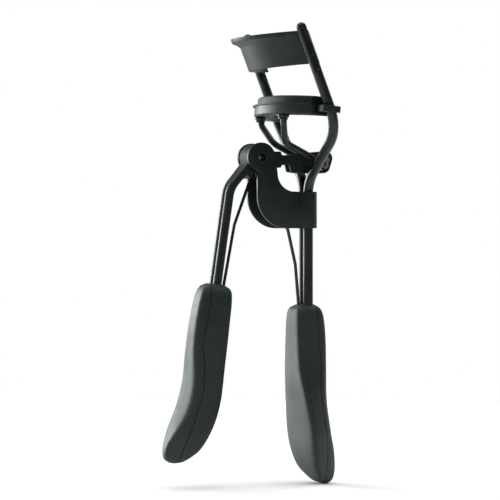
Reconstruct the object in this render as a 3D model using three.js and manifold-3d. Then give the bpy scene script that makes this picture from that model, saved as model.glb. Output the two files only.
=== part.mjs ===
// Eyelash curler: a fixed frame of two rods with an upper jaw, a sprung lever on a hollow rivet, and a
// lower jaw that slides up the frame rods. Millimetres, +Z up, the fixed handle upright, the jaws and the
// moving handle towards -X, and the rivet along Y. The object is symmetric about its Y = 0 plane.
import * as THREE from "three";
import { mergeVertices } from "three/addons/utils/BufferGeometryUtils.js";
import Module from "manifold-3d";

const wasm = await Module();
wasm.setup();

// ---------------------------------------------------------------- driving dimensions, mm and degrees
const FRAME_ROD = { radius: 1.2, sides: 14, halfGap: 0.07, lowEnd: 12 };
const FORK = { startZ: 73.1, elbowX: 0.9, elbowZ: 85.2, halfWidth: 16.8, startBend: 7, elbowBend: 10 };
const LEAN = { degrees: 21.5, length: 25.4, flatLength: 11.8, flatThickness: 1.7 };
const TIP_SLOT = { halfWidth: 0.5, length: 7.2, depth: 0.35, fromTip: 0.7 };

const PIVOT = { x: -13, z: 78.8 };
const RIVET = { radius: 1.3, wall: 0.4, headLip: 0.3, headHeight: 0.5 };
const BUSH = { wall: 0.45, running: 0.1 };
const BRACKET = {
  sheet: 0.8,
  cheekMid: 3.15,
  headRadius: 3.55,
  baseZ: 61.9,
  height: 8.8,
  heelX: -14.05,
  heelRise: 7.7,
  heelRun: 7.4,
  throatRadius: 4.3,
  pinchX: -2.6,
  pinchMid: 1.85,
  foldX: -6,
};

const LEVER_ROD = { radius: 1.06, sides: 14, halfGap: 0.06, bend: 6.5, lowEnd: 12 };
const LEVER = { leanDegrees: 8.3, elbowX: -20.15, elbowZ: 71.45, neckDegrees: 49.8, swingDegrees: 20 };
const YOKE = {
  headWall: 0.3,
  headHalfWidth: 2.5,
  cheek: 0.75,
  armHalfWidth: 1.65,
  neckHalfHeight: 1.15,
  sleeveHalfHeight: 1.5,
  sleeveLength: 5.4,
  eyeX: 3.9,
  eyeZ: 77.05,
  eyeRadius: 1.8,
  eyeSlot: 1.9,
  eyeSlotDegrees: 18,
};
const PUSH_WIRE = {
  radius: 0.78,
  sides: 12,
  collarHalfSpacing: 7.1,
  straight: 2.4,
  topBend: 2.6,
  kneeForward: 1.87,
  kneeZ: 82.4,
  kneeHalf: 3.6,
  kneeBend: 3.2,
  eyeSlack: 0.42,
};
const COLLAR = { radius: 1.45, neckRadius: 1.15, flange: 0.45, height: 1.2 };
const RIVET_END = { radius: 1, height: 0.5 };
const SPRING = {
  wire: 0.4,
  sides: 8,
  turns: 2,
  coilGap: 0.12,
  halfLength: 1.15,
  // points (x, y, z) of each leg, from the grip up to the coil on the fixed side, and down on the other
  fixedLeg: [[-1.95, 0, 43], [-3.0, -0.4, 53.2], [-5.1, -0.8, 61.5]],
  leverLeg: [[-14.7, 0.8, 72.4], [-18.5, 0.5, 62.7], [-21.75, 0, 46.5]],
};

const ARC = { beyondRods: 1.6, setback: 9.6 };
const LOWER_JAW = {
  z: 90.9,
  pitchDegrees: 5,
  halfWidth: 1.65,
  height: 2.6,
  wall: 0.55,
  floor: 0.6,
  lip: 0.5,
  lipHeight: 0.35,
  guideHeight: 1.5,
  guideWall: 0.7,
  guideSlack: 0.42,
};
const PAD = { proud: 1.9, round: 0.35, slack: 0.08 };
const UPPER_JAW = { thickness: 0.9, height: 7.9, lip: 1.9, lipHeight: 1.1, endGap: 0.2, closedGap: 1.1 };

const GRIP = {
  length: 43.5,
  sides: 24,
  squareness: 4,
  // height above the foot, inner face, outer face, half width at the inner face and at the outer face
  sections: [
    [0, 4.5, 5.5, 0.9, 0.6],
    [0.5, 3.1, 6.6, 2.5, 1.0],
    [1.8, 1.8, 7.3, 4.8, 1.3],
    [4, 0.2, 7.4, 6.9, 2.0],
    [8, -1.1, 6.55, 8.4, 3.4],
    [12.7, -1.8, 5.35, 9.0, 4.2],
    [20.5, -2.75, 4.4, 7.5, 3.8],
    [28, -3.6, 4.65, 5.7, 2.9],
    [35, -3.7, 4.6, 4.9, 2.9],
    [40.5, -3.6, 4.1, 4.3, 2.9],
    [42.6, -3.1, 3.3, 3.5, 2.5],
    [43.5, -1.6, 1.9, 2.3, 1.7],
  ],
  seamGap: 0.12,
  // the seam's line on the grip's side, from below the foot to above the top: x and height
  seam: [
    [4.4, -2],
    [4.0, 3.6],
    [3.05, 13.2],
    [2.05, 19],
    [2.0, 24.7],
    [2.6, 27.9],
    [2.4, 31],
    [1.95, 37.7],
    [2.1, 45.5],
  ],
  boreSlack: 0.08,
  fixedX: -0.3,
};
const LEVER_GRIP_TOP = { x: -23.5, z: 48.5 };
const RUNNING_GAP = 0.15;
const SEAT_GAP = 0.06;

// Colour, roughness and metalness of each finish.
const FINISHES = {
  satinBlack: { color: 0x1b1d1c, roughness: 0.42, metalness: 0.35 },
  rubber: { color: 0x141515, roughness: 0.75, metalness: 0 },
  softTouch: { color: 0x1a1c1c, roughness: 0.8, metalness: 0 },
};

// ---------------------------------------------------------------- small helpers
const radians = THREE.MathUtils.degToRad;
// How far each rod of a pair stands from the middle plane.
const besideMiddle = (rod) => rod.radius + rod.halfGap;
const point2 = (x, y) => new THREE.Vector2(x, y);
const point3 = (x, y, z) => new THREE.Vector3(x, y, z);

// A curve through listed points with one extrusion step for each, so that straight stretches stay cheap.
class VertexPath extends THREE.Curve {
  constructor(points) {
    super();
    this.points = points;
  }
  getPoint(t) {
    const at = t * (this.points.length - 1);
    const index = Math.min(Math.floor(at), this.points.length - 2);
    return this.points[index].clone().lerp(this.points[index + 1], at - index);
  }
  getUtoTmapping(u) {
    return u;
  }
  getTangent(t) {
    const index = Math.round(t * (this.points.length - 1));
    const before = this.points[Math.max(index - 1, 0)];
    const after = this.points[Math.min(index + 1, this.points.length - 1)];
    return after.clone().sub(before).normalize();
  }
}

// Rounds each inner corner of a polyline with an arc of the given radius.
function roundedPath(corners, radii, stepsPerBend = 6) {
  const points = [corners[0]];
  for (let i = 1; i < corners.length - 1; i++) {
    const inward = corners[i - 1].clone().sub(corners[i]).normalize();
    const outward = corners[i + 1].clone().sub(corners[i]).normalize();
    const halfAngle = inward.angleTo(outward) / 2;
    const reach = radii[i - 1] / Math.tan(halfAngle);
    const centre = inward.clone().add(outward).normalize();
    centre.multiplyScalar(radii[i - 1] / Math.sin(halfAngle)).add(corners[i]);
    const first = inward.multiplyScalar(reach).add(corners[i]).sub(centre);
    const last = outward.multiplyScalar(reach).add(corners[i]).sub(centre);
    const sweep = first.angleTo(last);
    for (let step = 0; step <= stepsPerBend; step++) {
      const share = step / stepsPerBend;
      const a = Math.sin((1 - share) * sweep) / Math.sin(sweep);
      const b = Math.sin(share * sweep) / Math.sin(sweep);
      points.push(first.clone().multiplyScalar(a).addScaledVector(last, b).add(centre));
    }
  }
  points.push(corners[corners.length - 1]);
  return points;
}

function circleShape(radius, sides) {
  const points = [];
  for (let i = 0; i < sides; i++) {
    const angle = (2 * Math.PI * i) / sides;
    points.push(point2(radius * Math.cos(angle), radius * Math.sin(angle)));
  }
  return new THREE.Shape(points);
}

const tube = (points, radius, sides) =>
  new THREE.ExtrudeGeometry(circleShape(radius, sides), {
    steps: points.length - 1,
    extrudePath: new VertexPath(points),
  });

// A geometry as a solid, and a solid back as a geometry.
function solid(geometry) {
  const bare = geometry.clone();
  bare.deleteAttribute("normal");
  bare.deleteAttribute("uv");
  const merged = mergeVertices(bare, 1e-4);
  const mesh = new wasm.Mesh({
    numProp: 3,
    vertProperties: merged.attributes.position.array,
    triVerts: new Uint32Array(merged.index.array),
  });
  return new wasm.Manifold(mesh);
}

function geometryOf(body) {
  const { vertProperties, triVerts, numProp } = body.getMesh();
  const positions = new Float32Array((vertProperties.length / numProp) * 3);
  for (let i = 0; i < positions.length / 3; i++) {
    positions.set(vertProperties.subarray(i * numProp, i * numProp + 3), i * 3);
  }
  const geometry = new THREE.BufferGeometry();
  geometry.setAttribute("position", new THREE.BufferAttribute(positions, 3));
  geometry.setIndex(new THREE.BufferAttribute(triVerts, 1));
  return geometry;
}

// An outline in the X-Z plane, given as a shape in (x, z), extruded from y = -halfWidth to +halfWidth.
function plateGeometry(shape, halfWidth, curveSegments = 10) {
  const depth = 2 * halfWidth;
  const geometry = new THREE.ExtrudeGeometry(shape, { depth, bevelEnabled: false, curveSegments });
  return geometry.translate(0, 0, -halfWidth).rotateX(Math.PI / 2);
}

const sidePlate = (shape, halfWidth, curveSegments) =>
  solid(plateGeometry(shape, halfWidth, curveSegments));

// An outline in the X-Y plane extruded upwards from z = low to z = high.
function planPlate(shape, low, high, curveSegments = 10) {
  const depth = high - low;
  const geometry = new THREE.ExtrudeGeometry(shape, { depth, bevelEnabled: false, curveSegments });
  return solid(geometry.translate(0, 0, low));
}

// A turned body whose axis lies along Y through (x, z); the profile is in (radius, y).
function turnedAcross(profile, x, z, sides = 24) {
  const closed = [...profile, profile[0]];
  return solid(new THREE.LatheGeometry(closed, sides).translate(x, 0, z));
}

const tubeProfile = (bore, radius, low, high) => [
  point2(bore, low),
  point2(radius, low),
  point2(radius, high),
  point2(bore, high),
];

// The outline of a sheet of even thickness along a centre line, with mitred corners.
function sheetShape(line, thickness) {
  const side = (sign) =>
    line.map((at, i) => {
      const before = line[Math.max(i - 1, 0)];
      const after = line[Math.min(i + 1, line.length - 1)];
      const arriving = at.clone().sub(before).normalize();
      const leaving = after.clone().sub(at).normalize();
      const along = arriving.add(leaving).normalize();
      const straight = leaving.lengthSq() > 0 ? leaving : along;
      const mitre = 1 / Math.max(straight.dot(along), 0.5);
      const offset = sign * mitre * thickness * 0.5;
      return point2(at.x - along.y * offset, at.y + along.x * offset);
    });
  return new THREE.Shape([...side(1), ...side(-1).reverse()]);
}

const lever = { cos: Math.cos(radians(LEVER.leanDegrees)), sin: Math.sin(radians(LEVER.leanDegrees)) };
const lean = { cos: Math.cos(radians(LEAN.degrees)), sin: Math.sin(radians(LEAN.degrees)) };

// The plan radius that both jaws follow, so that they reach the rods at their sides.
const arcRadius = FORK.halfWidth + ARC.beyondRods;

// The frame rods' axis plane: x at a height on the leaning stretch.
const leanX = (z) => FORK.elbowX - ((z - FORK.elbowZ) * lean.sin) / lean.cos;

const turned = (from, about, angle) => {
  const x = from.x - about.x;
  const z = from.z - about.z;
  return {
    x: about.x + x * Math.cos(angle) - z * Math.sin(angle),
    z: about.z + x * Math.sin(angle) + z * Math.cos(angle),
  };
};

// How far the lower jaw travels and turns when the lever swings through its whole range: the push wire
// keeps its length between the yoke's eye and the guides, the guides stay on the leaning rods, and the
// wire moves from the bottom of the eye's slot to its top.
function jawStroke() {
  const guide = { x: leanX(LOWER_JAW.z), z: LOWER_JAW.z };
  const eye = { x: YOKE.eyeX, z: YOKE.eyeZ };
  const raised = turned(eye, PIVOT, radians(LEVER.swingDegrees));
  raised.z += YOKE.eyeSlot;
  const reach = Math.hypot(guide.x - eye.x, guide.z - eye.z);
  const along = (guide.x - raised.x) * -lean.sin + (guide.z - raised.z) * lean.cos;
  const offset = Math.hypot(guide.x - raised.x, guide.z - raised.z);
  const travel = Math.sqrt(along * along + reach * reach - offset * offset) - along;
  const closed = { x: guide.x - travel * lean.sin, z: guide.z + travel * lean.cos };
  const openAngle = Math.atan2(guide.z - eye.z, guide.x - eye.x);
  const closedAngle = Math.atan2(closed.z - raised.z, closed.x - raised.x);
  return { guide, closed, travel, turn: closedAngle - openAngle };
}
const stroke = jawStroke();

// ---------------------------------------------------------------- frame rods and upper jaw
function frameRodPath(side) {
  const y = side * besideMiddle(FRAME_ROD);
  const elbow = point3(FORK.elbowX, side * FORK.halfWidth, FORK.elbowZ);
  const tip = elbow.clone().add(point3(-lean.sin * LEAN.length, 0, lean.cos * LEAN.length));
  const corners = [point3(0, y, FRAME_ROD.lowEnd), point3(0, y, FORK.startZ), elbow, tip];
  return roundedPath(corners, [FORK.startBend, FORK.elbowBend]);
}

// A box in the leaning frame of the rods: s runs along the rod from the elbow, u across it, and y.
function leaningBox(sLow, sHigh, halfAcross, yMid, halfY) {
  const box = new THREE.BoxGeometry(2 * halfAcross, 2 * halfY, sHigh - sLow);
  box.translate(0, yMid, (sLow + sHigh) / 2);
  box.rotateY(-radians(LEAN.degrees));
  box.translate(FORK.elbowX, 0, FORK.elbowZ);
  return solid(box);
}

function frameRod(side) {
  const path = frameRodPath(side);
  const tip = path[path.length - 1];
  const dome = new THREE.SphereGeometry(FRAME_ROD.radius, FRAME_ROD.sides, 8);
  dome.translate(tip.x, tip.y, tip.z);
  let rod = solid(tube(path, FRAME_ROD.radius, FRAME_ROD.sides)).add(solid(dome));
  const top = LEAN.length + FRAME_ROD.radius;
  const cutHalf = FRAME_ROD.radius;
  for (const face of [-1, 1]) {
    const yMid = side * FORK.halfWidth + face * (LEAN.flatThickness / 2 + cutHalf);
    rod = rod.subtract(leaningBox(top - LEAN.flatLength, top + 1, 2 * cutHalf, yMid, cutHalf));
  }
  const slotTop = top - TIP_SLOT.fromTip - TIP_SLOT.halfWidth;
  const slotY = side * (FORK.halfWidth + LEAN.flatThickness / 2);
  const slotLow = slotTop - TIP_SLOT.length;
  return rod.subtract(leaningBox(slotLow, slotTop, TIP_SLOT.halfWidth, slotY, TIP_SLOT.depth));
}

// A curved strip in plan, between two radii about the arc's centre, ending at the given half width.
function arcStrip(inner, outer, halfSpan, segments = 22) {
  const edge = (radius) => {
    const limit = Math.asin(halfSpan / radius);
    return Array.from({ length: segments + 1 }, (_, i) => {
      const angle = limit * (1 - (2 * i) / segments);
      return point2(ARC.setback - radius * Math.cos(angle), radius * Math.sin(angle));
    });
  };
  return new THREE.Shape([...edge(outer), ...edge(inner).reverse()]);
}

// The lip: a crescent from the band's outer face, widest at the middle, nothing at the ends.
function lipShape(inner, outer, halfSpan, flare, segments = 22) {
  const limit = Math.asin(halfSpan / outer);
  const at = (radius, share) => {
    const angle = limit * (1 - 2 * share);
    return point2(ARC.setback - radius * Math.cos(angle), radius * Math.sin(angle));
  };
  const shares = Array.from({ length: segments + 1 }, (_, i) => i / segments);
  const front = shares.map((share) => at(outer + flare * Math.sin(Math.PI * share), share));
  const back = shares.map((share) => at(inner, share)).reverse();
  return new THREE.Shape([...front, ...back]);
}

const extruded = (shape, low, high) =>
  new THREE.ExtrudeGeometry(shape, { depth: high - low, bevelEnabled: false, curveSegments: 10 })
    .translate(0, 0, low);

// Places a geometry built over a jaw's own level plane: sheared by a slope, pitched, and moved.
function seated(geometry, pitch, place, slope = 0) {
  const shear = new THREE.Matrix4();
  shear.elements[8] = -Math.tan(slope);
  return solid(geometry.applyMatrix4(shear).rotateY(pitch).translate(place.x, 0, place.z));
}

function upperJaw() {
  const pitch = radians(LOWER_JAW.pitchDegrees) - stroke.turn;
  const slope = radians(LEAN.degrees) + pitch;
  const lift = PAD.proud + UPPER_JAW.closedGap;
  const place = {
    x: stroke.closed.x + Math.sin(pitch) * lift,
    z: stroke.closed.z + Math.cos(pitch) * lift,
  };
  const inner = arcRadius - UPPER_JAW.thickness / 2;
  const outer = arcRadius + UPPER_JAW.thickness / 2;
  const halfSpan = FORK.halfWidth - LEAN.flatThickness / 2 - UPPER_JAW.endGap;
  const band = extruded(arcStrip(inner, outer, halfSpan), 0, UPPER_JAW.height);
  const lipLow = UPPER_JAW.height - UPPER_JAW.lipHeight;
  const lip = extruded(lipShape(inner, outer, halfSpan, UPPER_JAW.lip), lipLow, UPPER_JAW.height);
  return seated(band, pitch, place, slope).add(seated(lip, pitch, place, slope));
}

// ---------------------------------------------------------------- lower jaw
const jawPitch = radians(LOWER_JAW.pitchDegrees);
const jawSeat = (geometry) => seated(geometry, jawPitch, stroke.guide);
const guideInner = FORK.halfWidth - FRAME_ROD.radius - LOWER_JAW.guideSlack;
const guideOuter = FORK.halfWidth + FRAME_ROD.radius + LOWER_JAW.guideSlack + LOWER_JAW.guideWall;

// Each guide is a flat loop round its frame rod, with a hole that follows the rod's lean.
function guideLoop(side) {
  const reach = FRAME_ROD.radius + LOWER_JAW.guideSlack + LOWER_JAW.guideWall;
  const low = -LOWER_JAW.lipHeight - LOWER_JAW.guideHeight;
  const outline = new THREE.Shape();
  outline.moveTo(-reach, side * (guideInner - LOWER_JAW.halfWidth));
  outline.lineTo(reach - 0.6, side * (guideInner - LOWER_JAW.halfWidth));
  outline.lineTo(reach, side * (guideInner - LOWER_JAW.halfWidth + 0.6));
  outline.lineTo(reach, side * (guideOuter - 0.6));
  outline.lineTo(reach - 0.6, side * guideOuter);
  outline.lineTo(-reach + 0.6, side * guideOuter);
  outline.lineTo(-reach, side * (guideOuter - 0.6));
  return jawSeat(extruded(outline, low, -LOWER_JAW.lipHeight));
}

function rodClearance(side) {
  const half = 2 * LOWER_JAW.height;
  const y = side * FORK.halfWidth;
  const at = (s) => point3(leanX(LOWER_JAW.z) - s * lean.sin, y, LOWER_JAW.z + s * lean.cos);
  return solid(tube([at(-half), at(half)], FRAME_ROD.radius + LOWER_JAW.guideSlack, 20));
}

function lowerJaw() {
  const { halfWidth, wall, height, floor, lip, lipHeight } = LOWER_JAW;
  const inner = arcRadius - halfWidth;
  const outer = arcRadius + halfWidth;
  const block = extruded(arcStrip(inner, outer, guideInner), -height, 0);
  const rim = extruded(arcStrip(inner, outer + lip, guideInner), -lipHeight, 0);
  const groove = extruded(arcStrip(inner + wall, outer - wall, guideInner - wall), floor - height, 1);
  let body = jawSeat(block).add(jawSeat(rim));
  for (const side of [-1, 1]) {
    const hole = wireEndHole(side, PUSH_WIRE.radius + RUNNING_GAP);
    body = body.add(guideLoop(side)).subtract(rodClearance(side)).subtract(hole);
  }
  return body.subtract(jawSeat(groove));
}

// The pad fills the groove above the riveted wire ends and stands proud of the rim with rounded edges.
function lashPad() {
  const halfWidth = LOWER_JAW.halfWidth - LOWER_JAW.wall - PAD.slack;
  const halfSpan = guideInner - LOWER_JAW.wall - PAD.slack;
  const low = LOWER_JAW.floor - LOWER_JAW.height + RIVET_END.height + SEAT_GAP;
  const body = extruded(
    arcStrip(arcRadius - halfWidth, arcRadius + halfWidth, halfSpan),
    low,
    PAD.proud - PAD.round,
  );
  const crown = extruded(
    arcStrip(arcRadius - halfWidth + PAD.round, arcRadius + halfWidth - PAD.round, halfSpan - PAD.round),
    PAD.proud - PAD.round - 0.2,
    PAD.proud,
  );
  return jawSeat(body).add(jawSeat(crown));
}

// ---------------------------------------------------------------- push wire, collars and riveted ends
const collarX = () => ARC.setback - Math.sqrt(arcRadius ** 2 - PUSH_WIRE.collarHalfSpacing ** 2);

// A point given in the lower jaw's own frame, at rest.
function jawPoint(x, y, z) {
  const at = point3(x, y, z).applyAxisAngle(point3(0, 1, 0), jawPitch);
  return at.add(point3(stroke.guide.x, 0, stroke.guide.z));
}

function wirePath() {
  const half = YOKE.armHalfWidth + RUNNING_GAP + 2 * PUSH_WIRE.radius;
  const topZ = LOWER_JAW.floor - LOWER_JAW.height - SEAT_GAP;
  const leg = (side) => {
    const top = jawPoint(collarX(), side * PUSH_WIRE.collarHalfSpacing, topZ);
    const shoulder = point3(top.x, top.y, top.z - PUSH_WIRE.straight);
    const knee = point3(top.x + PUSH_WIRE.kneeForward, side * PUSH_WIRE.kneeHalf, PUSH_WIRE.kneeZ);
    return [top, shoulder, knee, point3(YOKE.eyeX, side * half, YOKE.eyeZ)];
  };
  const corners = [...leg(-1), ...leg(1).reverse()];
  const { topBend, kneeBend, radius } = PUSH_WIRE;
  const tight = radius * 1.3;
  return roundedPath(corners, [topBend, kneeBend, tight, tight, kneeBend, topBend], 5);
}

const pushWire = () => solid(tube(wirePath(), PUSH_WIRE.radius, PUSH_WIRE.sides));

function upright(profile, side) {
  const turnedBody = new THREE.LatheGeometry([...profile, profile[0]], 20).rotateX(Math.PI / 2);
  turnedBody.translate(collarX(), side * PUSH_WIRE.collarHalfSpacing, 0);
  return jawSeat(turnedBody);
}

function wireEndHole(side, radius) {
  const hole = new THREE.CylinderGeometry(radius, radius, 2 * LOWER_JAW.height, 20).rotateX(Math.PI / 2);
  hole.translate(collarX(), side * PUSH_WIRE.collarHalfSpacing, -LOWER_JAW.height);
  return jawSeat(hole);
}

function pushCollar(side) {
  const bore = PUSH_WIRE.radius + RUNNING_GAP;
  const top = -LOWER_JAW.height - SEAT_GAP;
  return upright(
    [
      point2(bore, top - COLLAR.height),
      point2(COLLAR.neckRadius, top - COLLAR.height),
      point2(COLLAR.neckRadius, top - COLLAR.flange - 0.25),
      point2(COLLAR.radius, top - COLLAR.flange),
      point2(COLLAR.radius, top),
      point2(bore, top),
    ],
    side,
  );
}

// The wire's end is set over inside the groove: a low button that sits on the channel's floor.
function wireRivet(side) {
  const low = LOWER_JAW.floor - LOWER_JAW.height + SEAT_GAP;
  const high = low + RIVET_END.height - SEAT_GAP;
  return upright(
    [point2(0, low), point2(RIVET_END.radius, low), point2(RIVET_END.radius * 0.8, high), point2(0, high)],
    side,
  );
}

// ---------------------------------------------------------------- hinge bracket, rivet and bush
const cheekInner = BRACKET.cheekMid - BRACKET.sheet / 2;
const cheekOuter = BRACKET.cheekMid + BRACKET.sheet / 2;

function bracketOutline() {
  const { headRadius, baseZ, height, heelX, heelRise, heelRun, throatRadius } = BRACKET;
  const topZ = baseZ + height;
  const farX = FRAME_ROD.radius + 2 * BRACKET.sheet + 1;
  const throatX = PIVOT.x + headRadius + 0.6;
  const outline = new THREE.Shape();
  outline.moveTo(farX, baseZ);
  outline.lineTo(heelX + heelRun, baseZ);
  outline.absellipse(heelX + heelRun, baseZ + heelRise, heelRun, heelRise, 1.5 * Math.PI, Math.PI, true);
  const notch = Math.PI + Math.acos(Math.min(1, (PIVOT.x - heelX) / headRadius));
  outline.lineTo(heelX, PIVOT.z + headRadius * Math.sin(notch));
  outline.absarc(PIVOT.x, PIVOT.z, headRadius, notch, 0.06, true);
  outline.lineTo(throatX, topZ + throatRadius);
  outline.absarc(throatX + throatRadius, topZ + throatRadius, throatRadius, Math.PI, 1.5 * Math.PI, false);
  outline.lineTo(farX, topZ);
  return outline;
}

// The sheet's centre line in plan: in along one cheek, round both rods, and out along the other.
function bracketSheet() {
  const around = FRAME_ROD.radius + RUNNING_GAP + BRACKET.sheet / 2;
  const { foldX, pinchX, cheekMid, pinchMid } = BRACKET;
  const half = [point2(PIVOT.x - BRACKET.headRadius - 1, -cheekMid), point2(foldX, -cheekMid)];
  half.push(point2(foldX + 1.6, -cheekMid + 0.35), point2(pinchX, -pinchMid));
  for (let step = 0; step <= 8; step++) {
    const angle = radians(215 + (145 * step) / 8);
    half.push(point2(around * Math.cos(angle), around * Math.sin(angle) - besideMiddle(FRAME_ROD)));
  }
  const mirrored = half.map((at) => point2(at.x, -at.y)).reverse();
  return sheetShape([...half, ...mirrored], BRACKET.sheet);
}

function hingeBracket() {
  const sheet = planPlate(bracketSheet(), BRACKET.baseZ, PIVOT.z + BRACKET.headRadius);
  const hole = RIVET.radius + RUNNING_GAP / 2;
  const bore = turnedAcross(tubeProfile(0, hole, -2 * cheekOuter, 2 * cheekOuter), PIVOT.x, PIVOT.z);
  return sheet.intersect(sidePlate(bracketOutline(), 2 * cheekOuter, 16)).subtract(bore);
}

function pivotRivet() {
  const { radius, wall, headLip, headHeight } = RIVET;
  const bore = radius - wall;
  const headRadius = radius + headLip;
  const inner = cheekOuter + SEAT_GAP;
  const outer = inner + headHeight;
  const profile = [point2(bore, -outer), point2(headRadius - 0.15, -outer), point2(headRadius, -outer + 0.2)];
  profile.push(point2(headRadius, -inner), point2(radius, -inner), point2(radius, inner));
  profile.push(point2(headRadius, inner), point2(headRadius, outer - 0.2));
  profile.push(point2(headRadius - 0.15, outer), point2(bore, outer));
  return turnedAcross(profile, PIVOT.x, PIVOT.z);
}

const bushBore = RIVET.radius + BUSH.running;
const bushRadius = bushBore + BUSH.wall;

function pivotBush() {
  const half = YOKE.headHalfWidth;
  return turnedAcross(tubeProfile(bushBore, bushRadius, -half, half), PIVOT.x, PIVOT.z);
}

// ---------------------------------------------------------------- lever: rods, yoke and eye
function leverRodPath(side) {
  const y = side * besideMiddle(LEVER_ROD);
  const neck = { cos: Math.cos(radians(LEVER.neckDegrees)), sin: Math.sin(radians(LEVER.neckDegrees)) };
  const elbow = point3(LEVER.elbowX, y, LEVER.elbowZ);
  const toPivot = (PIVOT.x - LEVER.elbowX) * neck.cos + (PIVOT.z - LEVER.elbowZ) * neck.sin;
  const reach = toPivot - springOuter - LEVER_ROD.radius;
  const top = elbow.clone().add(point3(neck.cos * reach, 0, neck.sin * reach));
  const drop = LEVER.elbowZ - LEVER_ROD.lowEnd;
  const foot = elbow.clone().add(point3((-lever.sin / lever.cos) * drop, 0, -drop));
  return roundedPath([foot, elbow, top], [LEVER_ROD.bend]);
}

const leverRod = (side) => solid(tube(leverRodPath(side), LEVER_ROD.radius, LEVER_ROD.sides));

function yokeOutline() {
  const { eyeX, eyeZ, eyeRadius, neckHalfHeight } = YOKE;
  const neckZ = (PIVOT.z + eyeZ) / 2 + 0.4;
  const outline = new THREE.Shape();
  outline.moveTo(PIVOT.x, neckZ + 2);
  outline.lineTo(PIVOT.x + 5.7, neckZ + 2);
  outline.lineTo(PIVOT.x + 6.1, neckZ + neckHalfHeight);
  outline.lineTo(PIVOT.x + 8.4, neckZ + neckHalfHeight);
  outline.lineTo(PIVOT.x + 9, eyeZ + 2.75);
  outline.absarc(slotTop.x, slotTop.z, eyeRadius, 0.5 * Math.PI, -0.1 * Math.PI, true);
  outline.absarc(eyeX, eyeZ, eyeRadius, -0.1 * Math.PI, -0.5 * Math.PI, true);
  outline.lineTo(PIVOT.x + 10.2, eyeZ - eyeRadius);
  outline.lineTo(PIVOT.x + 8.4, eyeZ - eyeRadius + 0.3);
  outline.lineTo(PIVOT.x + 8, neckZ - neckHalfHeight);
  outline.lineTo(PIVOT.x + 6.1, neckZ - neckHalfHeight);
  outline.lineTo(PIVOT.x + 5.7, neckZ - 1.9);
  outline.lineTo(PIVOT.x, neckZ - 1.9);
  return outline;
}

// The upper end of the slot that the push wire rides in.
const slotTop = {
  x: YOKE.eyeX + YOKE.eyeSlot * Math.sin(radians(YOKE.eyeSlotDegrees)),
  z: YOKE.eyeZ + YOKE.eyeSlot * Math.cos(radians(YOKE.eyeSlotDegrees)),
};

// The room of that slot: one outline with a round end at the eye and another at the slot's top.
function eyeRoom() {
  const radius = PUSH_WIRE.radius + PUSH_WIRE.eyeSlack;
  const along = radians(90 - YOKE.eyeSlotDegrees);
  const outline = new THREE.Shape();
  outline.absarc(slotTop.x, slotTop.z, radius, along - Math.PI / 2, along + Math.PI / 2, false);
  outline.absarc(YOKE.eyeX, YOKE.eyeZ, radius, along + Math.PI / 2, along + 1.5 * Math.PI, false);
  return sidePlate(outline, 2 * YOKE.headHalfWidth, 12);
}

function leverYoke() {
  const { headWall, headHalfWidth, armHalfWidth, cheek, eyeRadius } = YOKE;
  const coilRoomRadius = springOuter + 2 * RUNNING_GAP;
  const headRadius = coilRoomRadius + headWall;
  const across = (radius, half, x, z) => turnedAcross(tubeProfile(0, radius, -half, half), x, z);
  const head = across(headRadius, headHalfWidth, PIVOT.x, PIVOT.z);
  const arm = sidePlate(yokeOutline(), armHalfWidth, 12);
  const sleeveBox = new THREE.BoxGeometry(YOKE.sleeveLength, 2 * headHalfWidth, 2 * YOKE.sleeveHalfHeight);
  sleeveBox.translate(-YOKE.sleeveLength / 2, 0, 0).rotateY(-radians(LEVER.neckDegrees));
  const sleeve = solid(sleeveBox.translate(PIVOT.x, 0, PIVOT.z));
  const coilRoom = across(coilRoomRadius, headHalfWidth - cheek, PIVOT.x, PIVOT.z);
  const armRoomShape = new THREE.Shape();
  const low = PIVOT.z - 2 * headRadius;
  armRoomShape.moveTo(PIVOT.x - 1.2, low);
  armRoomShape.lineTo(YOKE.eyeX - eyeRadius, low);
  armRoomShape.lineTo(YOKE.eyeX - eyeRadius, YOKE.eyeZ + 1.4);
  armRoomShape.lineTo(PIVOT.x + 8.6, YOKE.eyeZ + 1.6);
  armRoomShape.lineTo(PIVOT.x, PIVOT.z + 0.2);
  const armRoom = sidePlate(armRoomShape, armHalfWidth - cheek);
  const legRoomShape = new THREE.Shape();
  legRoomShape.moveTo(PIVOT.x - 1.9, low);
  legRoomShape.lineTo(PIVOT.x + 3.4, low);
  legRoomShape.lineTo(PIVOT.x + 3.4, PIVOT.z - 0.5);
  legRoomShape.lineTo(PIVOT.x - 1.9, PIVOT.z - 0.5);
  const legRoom = sidePlate(legRoomShape, headHalfWidth - cheek);
  const bushHole = across(bushRadius + SEAT_GAP, 2 * headHalfWidth, PIVOT.x, PIVOT.z);
  let yoke = head.add(arm).add(sleeve);
  for (const room of [coilRoom, armRoom, legRoom, bushHole, eyeRoom()]) {
    yoke = yoke.subtract(room);
  }
  for (const side of [-1, 1]) {
    yoke = yoke.subtract(solid(tube(leverRodPath(side), LEVER_ROD.radius + 2 * SEAT_GAP, LEVER_ROD.sides)));
  }
  return yoke;
}

// ---------------------------------------------------------------- torsion spring
const coilRadius = bushRadius + SPRING.coilGap + SPRING.wire;
const springOuter = coilRadius + SPRING.wire;

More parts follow.
